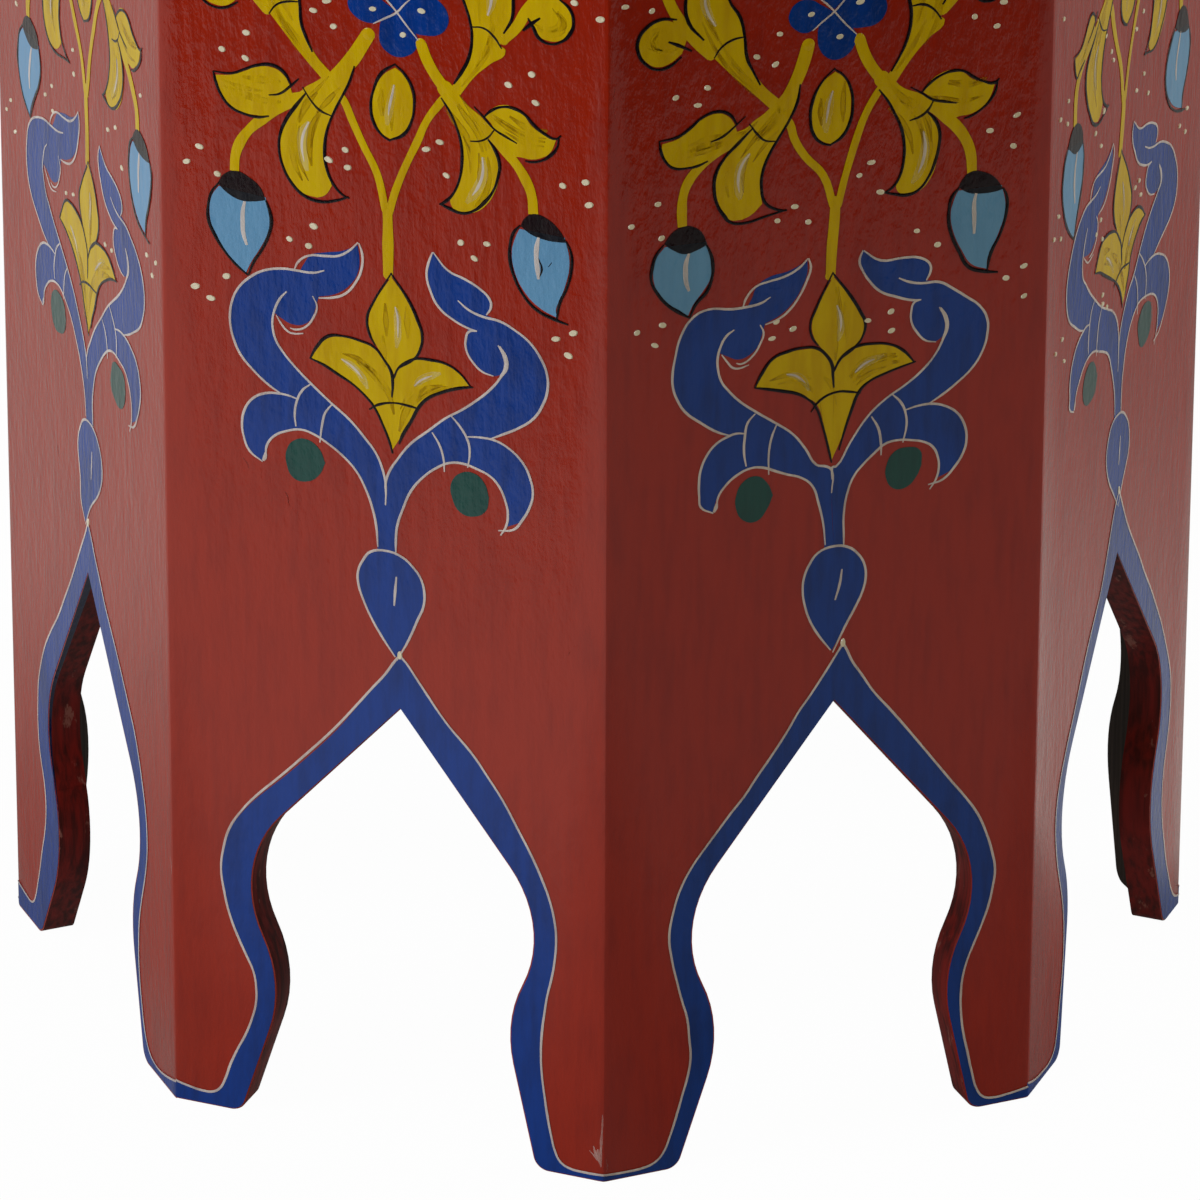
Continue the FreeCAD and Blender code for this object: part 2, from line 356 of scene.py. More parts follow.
for name, node in nodes.items():
    finish = steel_finish if name.endswith(("brads", "nails")) else stained_inside
    for slot in node.material_slots:
        slot.material = finish
print("Stained", len(nodes), "parts")

# %% [markdown]
# ## The side boards
#
# A side board is sawn, planed and rubbed down before it is painted, so its edges are not as sharp as
# the CAD's. The mesh could be a copy of the CAD part with a bevel on it, but that part is full of
# brad holes, which are stopped and painted over on the real one. It is easier to read only the
# arch's edge from the CAD part, and to cut a clean board to it. The edge is read as the corners of
# the faces that run through the board, and put in order round a point inside the arch.


# %% Read the arch's edge
heart_depth = 20 * mm


def arch_edge(side):
    """The arch on the face, from the left toe over the tip to the right toe, as points on the sheet."""
    board = bmesh.new()
    board.from_mesh(nodes[f"side_panel_{side}"].data)
    board.transform(lay_on(side).inverted())
    points = set()
    for face in board.faces:
        middle = face.calc_center_median()
        depths = [vertex.co.z for vertex in face.verts]
        through = max(depths) > -touching and min(depths) < touching - board_thickness
        off_the_mitres = abs(middle.x) < half_side - board_thickness
        if through and off_the_mitres and touching < middle.y < panel_height / 2:
            points.update((round(v.co.x, 7), round(v.co.y, 7)) for v in face.verts if v.co.z > -touching)
    board.free()
    heart = Vector(((min(points)[0] + max(points)[0]) / 2, -heart_depth))
    around = {point: math.atan2(point[0] - heart.x, point[1] - heart.y) for point in points}
    return [Vector(point) for point in sorted(points, key=around.get)]


arches = {side: arch_edge(side) for side in side_names}
tip_height = max(point.y for point in arches["front"])
print("The front arch has", len(arches["front"]), "points, and a tip", round(tip_height / mm, 1), "mm up")

# %% [markdown]
# ## Rubbed corners
#
# Where two boards meet, sandpaper has taken the corner down a little, and the faces roll towards it
# over the last two millimetres. Two neighbours have to keep meeting, so the boards are not bevelled
# there. Each point near the corner sinks along the mitre instead, by the same curve on both sides.
# Extra cuts come first, so that there are points to sink. Paint near a corner is rolled with the
# same function, and stays on the wood.

# %% Roll a face towards its corners
roll_reach = 2.4 * mm
roll_depth = 0.2 * mm
roll_cuts = (2.4, 1.7, 1.1, 0.6, 0.25)
weld_distance = 1e-7
flat_area = 4e-4
flat_limit = math.radians(12)
curved_limit = math.radians(26)


def slice_mesh(mesh, place, across, drop=False):
    """Cuts a mesh with a plane. What lies beyond it may be dropped, and then the cut is closed."""
    everything = mesh.verts[:] + mesh.edges[:] + mesh.faces[:]
    bmesh.ops.bisect_plane(
        mesh, geom=everything, dist=weld_distance, plane_co=place, plane_no=across, clear_outer=drop
    )
    if drop:
        bmesh.ops.holes_fill(mesh, edges=[edge for edge in mesh.edges if edge.is_boundary], sides=0)


def mitre_ends(mesh):
    """Cuts both ends of a board or a stick to the corners of the ring."""
    for hand in (-1, 1):
        across = (hand * math.cos(mitre), 0, -math.sin(mitre))
        slice_mesh(mesh, (hand * half_side, 0, 0), across, drop=True)


def push_out(mesh, face, way):
    """Makes a flat face thick: a copy of it is pushed out, and walls join the two."""
    outline = [face, *face.edges, *face.verts]
    grown = bmesh.ops.extrude_face_region(mesh, geom=outline, use_keep_orig=True)
    moved = [item for item in grown["geom"] if isinstance(item, bmesh.types.BMVert)]
    bmesh.ops.translate(mesh, verts=moved, vec=way)


def roll_corners(mesh, thickness):
    """Sinks what lies near either upright corner of a side. Points at the back of the thickness stay."""
    for cut in roll_cuts:
        for hand in (-1, 1):
            slice_mesh(mesh, (hand * (half_side - cut * mm), 0, 0), (1, 0, 0))
    for vertex in mesh.verts:
        from_corner = half_side - abs(vertex.co.x)
        if from_corner < roll_reach:
            share = 1 - max(from_corner, 0) / roll_reach
            depth_share = 1 + min(vertex.co.z, 0) / thickness
            drop = roll_depth * share**3 * max(depth_share, 0)
            vertex.co.z -= drop
            vertex.co.x -= math.copysign(math.tan(mitre) * drop, vertex.co.x)


def finish_mesh(name, mesh, materials, placing=None):
    """Makes an object. An edge stays sharp if it turns a lot, or a little beside a wide flat face."""
    if placing:
        mesh.transform(placing)
    bmesh.ops.remove_doubles(mesh, verts=mesh.verts[:], dist=weld_distance)
    bmesh.ops.recalc_face_normals(mesh, faces=mesh.faces[:])
    for face in mesh.faces:
        face.smooth = True
    for edge in mesh.edges:
        flat_side = max(face.calc_area() for face in edge.link_faces) > flat_area
        limit = flat_limit if flat_side else curved_limit
        edge.smooth = edge.calc_face_angle(math.pi) < limit
    data = bpy.data.meshes.new(name)
    mesh.to_mesh(data)
    mesh.free()
    for material in materials:
        data.materials.append(material)
    piece = bpy.data.objects.new(name, data)
    bpy.context.scene.collection.objects.link(piece)
    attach(piece, "root")
    return piece


print("A corner sinks by", round(roll_depth / mm, 2), "mm")

# %% [markdown]
# ## Sawing the boards
#
# A board is one flat outline, made thick, cut at both mitres, with its front arris eased by a bevel
# and its corners rolled. Its faces get four finishes: the red front, the sawn edges, the stained
# inside, and a lap. In one arch the blue ran over the arris, and the painter brushed it out thinly
# over the sawn edge, less and less towards the foot. The lap's blue is thin over the red, and is
# darkened further as painted shade, for the shade inside the arch.

# %% Saw the side boards
arris = 0.6 * mm
blue_laps = {"front_left": 3.2 * mm}
lap_foot = 52 * mm
faces_out, faces_in = 0.6, -0.9


def on_front_arris(edge):
    """Whether an edge is the front edge of the arch, or of the sole of a foot."""
    ends = [vertex.co for vertex in edge.verts]
    on_front = all(end.z > -touching for end in ends)
    low = max(end.y for end in ends) < panel_height / 2
    off_corner = max(abs(end.x) for end in ends) < half_side - touching
    return on_front and low and (off_corner or ends[0].y + ends[1].y < touching)


def ease(mesh, edges, width):
    """Rubs sharp edges down with two small flats."""
    bmesh.ops.bevel(
        mesh, geom=edges, offset=width, offset_type="OFFSET", segments=2, profile=0.5, affect="EDGES",
        material=-1, clamp_overlap=True,
    )


def side_board(side):
    mesh = bmesh.new()
    outline = [(-half_side, 0), *arches[side], (half_side, 0)]
    outline += [(half_side, panel_height), (-half_side, panel_height)]
    front = mesh.faces.new([mesh.verts.new((x, y, 0)) for x, y in outline])
    push_out(mesh, front, (0, 0, -board_thickness))
    bmesh.ops.recalc_face_normals(mesh, faces=mesh.faces[:])
    mitre_ends(mesh)
    ease(mesh, [edge for edge in mesh.edges if on_front_arris(edge)], arris)
    roll_corners(mesh, board_thickness)
    tip = max(arches[side], key=lambda point: point.y)
    lap = blue_laps.get(side, 0)
    lap_start = Vector((0, lap_foot, 0))
    lap_slope = Vector((0, lap, tip.y - lap_foot))
    if lap:
        slice_mesh(mesh, lap_start, lap_slope)
    mesh.normal_update()
    for face in mesh.faces:
        middle = face.calc_center_median()
        beside_lap = middle.x < tip.x and lap_foot < middle.y < tip.y
        if face.normal.z > faces_out:
            face.material_index = 0
        elif face.normal.z < faces_in:
            face.material_index = 2
        elif lap and beside_lap and lap_slope.dot(middle - lap_start) > 0:
            face.material_index = 3
        else:
            face.material_index = 1
    return mesh


for side in side_names:
    finishes = [red_ground, sawn_edge, stained_inside, thin_blue_in_painted_shade]
    board = finish_mesh(f"board_{side}", side_board(side), finishes, lay_on(side))
    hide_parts(f"side_panel_{side}")
print("A board has", len(board.data.polygons), "faces")

# %% [markdown]
# ## Brushes
#
# A painter fills a shape with a flat brush and draws outlines with a liner. Both are Bezier curves
# here. A fill is a flat closed curve with a little height, and a line is a curve with a round bevel
# that is pressed nearly flat, so that it keeps the raised middle of a real brush line. Every colour
# has its own height over the wood, in the order in which it was painted. Strokes of one colour also
# rise by a hair each, since two sheets at the same height would flicker where they cross. A glint is
# a wide sheer touch of pale yellow, with a thin cream line in it.

# %% Make the brushes
paint_heights = {
    "scuff": 0.03, "chip": 0.04, "blue": 0.10, "green": 0.12, "yellow": 0.13, "sky": 0.13, "ochre": 0.16,
    "glint": 0.17, "black": 0.19, "cream": 0.21, "dab": 0.22,
}
liner_share = {"cream": 0.72, "black": 0.94}
glint_core = 0.34
line_relief = 0.06
steady_wobble, black_wobble = 0.12, 0.26
dab_sides, dab_top_share = 14, 0.82
dot_across, dot_along = (2.7, 3.9), (2.0, 2.5)
streak_width, streak_points = (1.3, 2.8), (3, 4)
spot_points, spot_swell = 9, (0.92, 1.08)
stroke_rise = 0.0004
strokes_in_a_rise = 100


class Painter:
    """Paints on one sheet, in millimetres. Each colour gathers in a mesh of its own."""

    def __init__(self, place, seed):
        self.place = place
        self.hand = random.Random(seed)
        self.sheets = {}
        self.strokes = 0

    def height(self, colour):
        self.strokes += 1
        return paint_heights[colour] + self.strokes % strokes_in_a_rise * stroke_rise

    def curve(self, arcs, closed, half_widths):
        """A Bezier curve through arcs of points, with a sharp corner wherever two arcs meet."""
        curve = bpy.data.curves.new("stroke", "CURVE")
        points = [point for arc in arcs for point in arc[:-1]]
        corners, place = set(), 0
        for arc in arcs:
            corners.add(place)
            place += len(arc) - 1
        if not closed:
            points.append(arcs[-1][-1])
            corners = set()
        spline = curve.splines.new("BEZIER")
        spline.bezier_points.add(len(points) - 1)
        spline.use_cyclic_u = closed
        for number, (bezier, point) in enumerate(zip(spline.bezier_points, points)):
            bezier.co = (*self.place(*point), 0)
            bezier.radius = half_widths[min(number, len(half_widths) - 1)]
            handle = "VECTOR" if number in corners else "AUTO"
            bezier.handle_left_type = bezier.handle_right_type = handle
        return curve

    def lay(self, colour, curve, press, height):
        """Turns a curve into a mesh, presses it flat, and adds it to its colour."""
        stroke = bpy.data.objects.new("stroke", curve)
        mesh = bpy.data.meshes.new_from_object(stroke)
        mesh.transform(Matrix.Translation((0, 0, height)) @ Matrix.Diagonal((1, 1, press, 1)))
        self.sheets.setdefault(colour, bmesh.new()).from_mesh(mesh)
        bpy.data.objects.remove(stroke)
        bpy.data.curves.remove(curve)
        bpy.data.meshes.remove(mesh)

    def fill(self, colour, arcs, fineness=5):
        curve = self.curve(arcs, True, (1,))
        curve.dimensions = "2D"
        curve.fill_mode = "BOTH"
        curve.resolution_u = fineness
        curve.extrude = self.height(colour)
        self.lay(colour, curve, 1, 0)

    def line(self, colour, points, width=1.2, start=0.6, end=0.5):
        """A line that swells from a thin start to its width and thins out again at its end."""
        half = width / 2
        wobble = black_wobble if colour == "black" else steady_wobble
        middle = [half * self.hand.uniform(1 - wobble, 1 + wobble) for point in points[1:-1]]
        curve = self.curve([points], False, [half * start, *middle, half * end])
        curve.dimensions = "3D"
        curve.bevel_depth = 1
        curve.bevel_resolution = 1
        curve.resolution_u = 4
        curve.use_fill_caps = True
        self.lay(colour, curve, line_relief / half, self.height(colour))

    def dab(self, colour, x, y, across=2.9, along=2.1, turn=None):
        """A touch of the brush: a low rounded disc, a little longer than it is wide."""
        turn = self.hand.uniform(-0.5, 0.5) if turn is None else turn
        height = self.height(colour) + line_relief
        matrix = (
            Matrix.Translation((*self.place(x, y), height / 2))
            @ Matrix.Rotation(turn, 4, "Z")
            @ Matrix.Diagonal((across / 2, along / 2, 1, 1))
        )
        sheet = self.sheets.setdefault(colour, bmesh.new())
        bmesh.ops.create_cone(
            sheet, cap_ends=True, segments=dab_sides, radius1=1.0, radius2=dab_top_share,
            depth=height, matrix=matrix,
        )

    def streaks(self, spine, spread, count):
        """Thin ochre strokes that run beside the spine of a petal."""
        for number in range(count):
            aside = self.hand.uniform(-spread, spread)
            first = self.hand.randrange(max(len(spine) - 3, 1))
            part = spine[first : first + self.hand.randint(*streak_points)]
            lean = Vector(part[-1]) - Vector(part[0])
            side = Vector((-lean.y, lean.x)).normalized() * aside
            beside = [(x + side.x, y + side.y) for x, y in part]
            self.line("ochre", beside, self.hand.uniform(*streak_width), 0.3, 0.3)

    def draw(self, motif):
        """Fills first, then streaks and glints, then the lines and dabs over them."""
        for colour, arcs in motif.get("fills", []):
            self.fill(colour, arcs)
        for spine, spread, count in motif.get("streaks", []):
            self.streaks(spine, spread, count)
        for width, points in motif.get("glints", []):
            self.line("glint", points, width, 0.35, 0.35)
            self.line("cream", points[:-1], width * glint_core, 0.4, 0.3)
        for colour, width, points in motif.get("lines", []):
            blunt = 0.95 if colour == "yellow" else 0.55
            self.line(colour, points, width * liner_share.get(colour, 1), blunt, blunt)
            if colour == "yellow":
                self.dab("yellow", *points[0], width * 0.94, width * 0.94)
        self.dots(motif.get("dabs", []))

    def dots(self, places, size=0.9, jitter=0.8):
        """Touches of the tip of a wet brush, no two of one size."""
        for x, y in places:
            across, along = self.hand.uniform(*dot_across) * size, self.hand.uniform(*dot_along) * size
            x += self.hand.uniform(-jitter, jitter)
            y += self.hand.uniform(-jitter, jitter)
            self.dab("dab", x, y, across, along)

    def spot(self, colour, x, y, across, along):
        """A large spot, filled in by eye, so that it is not quite round."""
        rim = []
        for number in range(spot_points):
            turn, swell = math.tau * number / spot_points, self.hand.uniform(*spot_swell) / 2
            rim.append((x + across * swell * math.cos(turn), y + along * swell * math.sin(turn)))
        self.fill(colour, [rim + rim[:1]])

    def finish(self, label, placing, slot, roll=True):
        """Turns every colour into a piece that lies where the placing puts it."""
        for colour, sheet in self.sheets.items():
            sheet.transform(Matrix.Scale(mm, 4))
            if roll:
                roll_corners(sheet, board_thickness)
            piece = finish_mesh(f"paint_{colour}_{label}", sheet, [paints[colour]], placing)


print("The brushes lay", len(paint_heights), "colours")

# %% [markdown]
# ## The master drawing
#
# All eight sides carry the same picture, each painted by eye. It is drawn once here, in
# millimetres: x from the middle of the board, and y up from the floor. These are the points that a
# liner passes through, so they are typed as an artist would prick a pattern. A shape with corners
# is a list of arcs, and a smooth line is one list. The scrolls come first: a drop over the tip of
# the arch, and two blue leaves that curl away from it. The cream liner follows the same arcs, but
# starts and stops where it likes, so most of its lines are an arc with a few points of their own.

# %% Draw the scrolls over the arch
drop = [
    (4.3, 189.5), (9.2, 197.5), (12.5, 205), (14.6, 210.8), (15, 215.8), (13.8, 221.3), (10.8, 225.4),
    (6.7, 228.3), (0.8, 229.7), (-5, 228.3), (-7.9, 224.6), (-9.6, 220), (-9.6, 215), (-7.9, 209.6),
    (-5, 203.3), (-1.2, 196.7), (4.3, 189.5),
]
stalk = [(0.7, 251.3), (0.9, 240), (0.9, 229.5)]
left_underside = [
    (-2.4, 229.5), (-2.8, 238.3), (-4.1, 245), (-6.6, 251.7), (-10.3, 258.3), (-15.3, 263.3), (-20.3, 266.7),
    (-25.3, 269.3), (-30.3, 270.2), (-36.2, 268.8), (-40.8, 265.8), (-43.7, 261.7), (-45.3, 255.4),
]
left_lobe = [
    (-45.3, 255.4), (-50.3, 258.8), (-52.4, 264.2), (-53, 269.2), (-52, 274.2), (-48.7, 278.8),
    (-43.7, 281.7), (-38.5, 283),
]
left_back = [
    (-38.5, 283), (-41.6, 285), (-47.8, 290), (-52.4, 295), (-54.7, 300), (-56, 305), (-56.2, 310),
    (-55.3, 315), (-52.8, 320), (-48.3, 325), (-43.3, 328), (-36, 329.8), (-30, 330.4),
]
left_leaf = [
    [(-30, 330.4), (-28.7, 332.5), (-26.2, 336.3), (-21.2, 338.2), (-15, 339.6), (-9, 342.8)],
    [(-9, 342.8), (-8.3, 338), (-8.9, 333), (-12, 327.5), (-17, 323.6), (-22.8, 321.6)],
]
left_curl = [
    (-22.8, 321.6), (-23.8, 317), (-25, 313.6), (-28, 310.8), (-32, 310), (-36, 311.5), (-38.9, 313),
]
left_belly = [
    (-38.9, 313), (-39.7, 308.3), (-38.3, 303.3), (-35.3, 299.2), (-31.2, 294.6), (-25.3, 289.2),
    (-18.7, 282.9), (-12, 276.7), (-7, 271.3), (-2.8, 265.8), (-0.3, 260), (0.7, 255), (0.7, 251.3),
]
right_underside = [
    (4.6, 229.6), (4.6, 233.3), (5.2, 240), (7.1, 246.7), (10, 253.8), (15, 260.4), (20, 264.6),
    (24.2, 267.1), (29.2, 267.7), (35, 266.8), (40, 264.6), (43.3, 261.3), (45.4, 256.7), (46.3, 251.7),
    (46, 247),
]
right_lobe = [
    (46, 247), (51.7, 250.4), (54.6, 255.8), (55.7, 260.8), (54.6, 266.7), (51.7, 272.1), (46.7, 276.3),
    (41.7, 278.5), (36, 279),
]
right_back = [
    (36, 279), (40, 279.2), (45, 281.7), (50, 284.6), (55.8, 289.6), (59.2, 295), (60.8, 300.8),
    (60.7, 306.7), (58.3, 312.5), (54.2, 317.5), (49.2, 320.8), (43.3, 323.5), (38.3, 325),
]
right_leaf = [
    [(38.3, 325), (40, 327.9), (39.6, 330.8), (35.8, 334.2), (30.8, 336.7), (24.2, 339.2), (18.8, 345)],
    [(18.8, 345), (17.1, 340.8), (16.5, 335.8), (17.9, 330.4), (20.8, 325), (25.8, 321.3), (31.7, 318.8)],
]
right_curl = [(31.7, 318.8), (30.9, 315), (30.9, 310.8), (33.4, 306.9), (36.8, 304), (40.8, 302.9), (44, 304)]
right_belly = [
    (44, 304), (43.3, 302.5), (40, 297.9), (35, 292.9), (29.2, 288.3), (23.3, 283.8), (16.7, 277.9),
    (10, 271.7), (5, 265), (2.1, 260), (0.8, 255), (0.7, 251.3),
]
left_scroll = [left_underside, left_lobe, left_back, *left_leaf, left_curl, left_belly, stalk]
right_scroll = [right_underside, right_lobe, right_back, *right_leaf, right_curl, right_belly, stalk]
scrolls = {
    "fills": [
        ("blue", [drop]),
        ("blue", [*left_scroll, [(0.9, 229.5), (-2.4, 229.5)]]),
        ("blue", [*right_scroll, [(0.9, 229.5), (4.6, 229.6)]]),
    ],
    "lines": [
        ("cream", 1.2, [(4.6, 188.5), *drop[1:-1], (4, 189.5)]),
        ("cream", 1.5, [(4.6, 220.4), (4.3, 215), (3.75, 209.2)]),
        ("cream", 1.2, [
            (-21, 331.5), (-25, 330.3), (-32, 330), (-36, 330), *left_back[-3:0:-1], (-37.8, 283.3)]),
        ("cream", 1.2, [
            (-34.5, 321.7), (-37, 318.8), (-38.7, 315), (-39.7, 311.3), *left_belly[1:-1], (0.7, 247)]),
        ("cream", 2.3, [(42.9, 314.2), (45, 310.8), (45.4, 306.7), (43.4, 302.8)]),
        ("cream", 2.2, [(-45.2, 255.8), (-44.4, 257.4), (-44, 259)]),
        ("cream", 1.0, [
            (-24.9, 321.7), (-23.3, 318.3), (-24.1, 314.2), (-27, 310), (-30.8, 308.3), (-32.8, 308.6)]),
        ("cream", 1.0, [(-38.3, 312.5), (-36.2, 309.6), (-33.7, 307.1), (-31.6, 306.7), (-27.8, 307.5)]),
        ("cream", 1.2, [
            (-32, 330.4), (-30.8, 333.3), (-27, 336.3), (-21.2, 337), (-16.2, 337.7), (-12, 340.4),
            (-8.7, 343.8)]),
        ("cream", 1.2, [
            (-8.7, 343.8), (-7.4, 340), (-7.8, 334.2), (-9.9, 328.8), (-13.7, 324.2), (-17.8, 322.1),
            (-22.8, 321.3)]),
        ("cream", 1.2, [(-30.7, 282.1), (-34.5, 282.9), (-37.8, 282.9), *left_lobe[-2::-1]]),
        ("cream", 1.2, [(-44.1, 257.5), *left_underside[-2:0:-1], (-2.2, 230.8)]),
        ("cream", 1.2, [(-25.3, 288.8), (-28.7, 285.8), (-31.2, 280.8), (-32.4, 275.8), (-32.2, 271.3)]),
        ("cream", 1.2, [(-18, 282.5), (-20.8, 278.3), (-22.4, 273.3), (-23.4, 266.7)]),
        ("cream", 1.2, [(27.9, 328.5), (31.7, 325.8), (36.7, 324.3), *right_back[-2:0:-1]]),
        ("cream", 1.2, [(42.7, 314.6), (45, 310.8), (45.4, 306.7), *right_belly[1:]]),
        ("cream", 1.1, [
            (35, 318.5), (32, 317.9), (30.7, 315), (30.8, 310.8), (33.3, 306.7), (36.7, 303.8),
            (40.8, 302.7)]),
        ("cream", 1.2, [*right_leaf[1], (35, 318.5)]),
        ("cream", 1.2, right_leaf[0][::-1]),
        ("cream", 1.2, [(30.8, 278.3), (35.8, 279), *right_lobe[-2:0:-1], (48.3, 246.3), (42.9, 245)]),
        ("cream", 1.2, [(43.6, 243.2), (45.7, 246.7), *right_underside[-2::-1]]),
        ("cream", 1.2, [(25, 285.4), (28.8, 281.3), (31.3, 276.7), (32.1, 272.5), (31.3, 266.7)]),
        ("cream", 1.2, [(17.9, 277.5), (20.8, 273.3), (22.3, 268.3), (22.7, 263.3)]),
    ],
}
print("The scrolls have", len(scrolls["lines"]), "cream lines")

# %% [markdown]
# ## The three-petalled flower
#
# A yellow flower stands in the fork of the scrolls. Its outline is black, and is drawn free, so here
# and there it leaves the yellow and a little red shows between. The same flower is used again
# higher up on the board and on the top, so it is a motif of its own.

# %% Draw the three-petalled flower
flower = {
    "fills": [
        ("yellow", [
            [(3.4, 333), (-3.2, 321.7), (-4.8, 316.7), (-4, 310.8), (-2, 306.7), (0.8, 302), (3.4, 296)],
            [(3.4, 296), (5.8, 299.4), (11.2, 304.2), (13.3, 307.5), (14.2, 313.3), (12.8, 318.3),
             (9.6, 325), (3.4, 333)],
        ]),
        ("yellow", [
            [(-24.6, 298.8), (-22.4, 302.8), (-18.7, 307.2), (-13.7, 308.2), (-7.8, 307.3), (-2.8, 305.4),
             (0.5, 301.6), (3, 297.3), (3.4, 293.3), (3.2, 287.5), (3.3, 268)],
            [(3.3, 268), (2.2, 271.4), (-0.1, 277.1), (-3.4, 283.7), (-6, 286.7), (-10.3, 290.8),
             (-15.3, 294.6), (-20.3, 297.4), (-24.6, 298.8)],
        ]),
        ("yellow", [
            [(3.3, 268), (3.2, 287.5), (3.8, 295), (5.8, 299), (9.2, 302), (12.5, 303.8), (17.5, 304.3),
             (23.3, 303.7), (28.3, 301.2), (31.8, 297.5)],
            [(31.8, 297.5), (28.3, 296.6), (21.7, 293.7), (16.7, 290.4), (13, 286.6), (9.7, 279.8),
             (6.9, 274.4), (3.3, 268)],
        ]),
    ],
    "streaks": [
        ([(4.8, 299), (4.6, 305), (4.5, 311), (4.2, 317), (3.9, 323), (3.5, 329)], 5.5, 4),
        ([(-20, 300), (-15, 300), (-10, 298.5), (-5, 294), (-1, 288), (1.5, 280), (2.8, 273)], 3.5, 4),
        ([(27, 298.5), (21, 297.5), (15, 294.5), (10.5, 289.5), (7, 283), (5, 276)], 3.0, 4),
    ],
    "lines": [
        ("black", 1.1, [(3.4, 334.6), (-3.7, 321.7), (-5.3, 316.7), (-4.5, 310.8), (-2.4, 306.7)]),
        ("black", 1.1, [
            (3.2, 334.4), (10, 325), (13.3, 318.3), (14.8, 313.3), (13.8, 307.5), (11.7, 304.2),
            (5.8, 299.2)]),
        ("black", 1.1, [
            (-25.3, 298.8), (-22.8, 303.3), (-18.7, 307.9), (-13.7, 308.8), (-7.8, 307.9), (-2.8, 305.8),
            (0.5, 302), (3, 297.5), (3.4, 293.3), (3.2, 287.5)]),
        ("black", 1.1, [
            (-25.3, 298.8), (-20.3, 297.1), (-15.3, 294.2), (-10.3, 290.4), (-6.2, 286.3), (-3.7, 283.3),
            (-0.3, 276.7), (2.2, 270.8), (3.3, 267)]),
        ("black", 1.1, [
            (3.8, 295), (5.8, 299.2), (9.2, 302.5), (12.5, 304.2), (17.5, 304.8), (23.3, 304.2),
            (28.3, 301.7), (32.5, 297.3)]),
        ("black", 1.1, [
            (33.2, 297.4), (28.3, 296.3), (21.7, 293.3), (16.7, 290), (13.3, 286.3), (10, 279.6),
            (7.1, 274.2), (5.8, 270.8)]),
        ("black", 0.9, [(-5.3, 281.7), (-2, 284.2), (3.8, 285.7), (9.7, 285.4), (13.3, 285.2)]),
    ],
    "glints": [
        (2.6, [(4.9, 322.2), (5.7, 318.4), (5.9, 314.5), (5.7, 311), (5.1, 307)]),
        (2.6, [(-13.8, 300.2), (-11.2, 298.4), (-8.9, 296), (-7.2, 293.2), (-5.8, 289.6)]),
        (2.6, [(11.4, 293.4), (13.4, 295.6), (15.8, 297.5), (18.4, 299), (21.4, 300.4)]),
    ],
}
print("The flower has", len(flower["fills"]), "petals")

# %% [markdown]
# ## Stems, trumpets and leaves
#
# Two stems rise from the flower and cross the tubes of four trumpet flowers. A tube is one wide
# stroke of yellow. A trumpet's mouth is a fold, so its outline stops short of its tip on one side,
# and a curved black band parts the tube from the mouth.

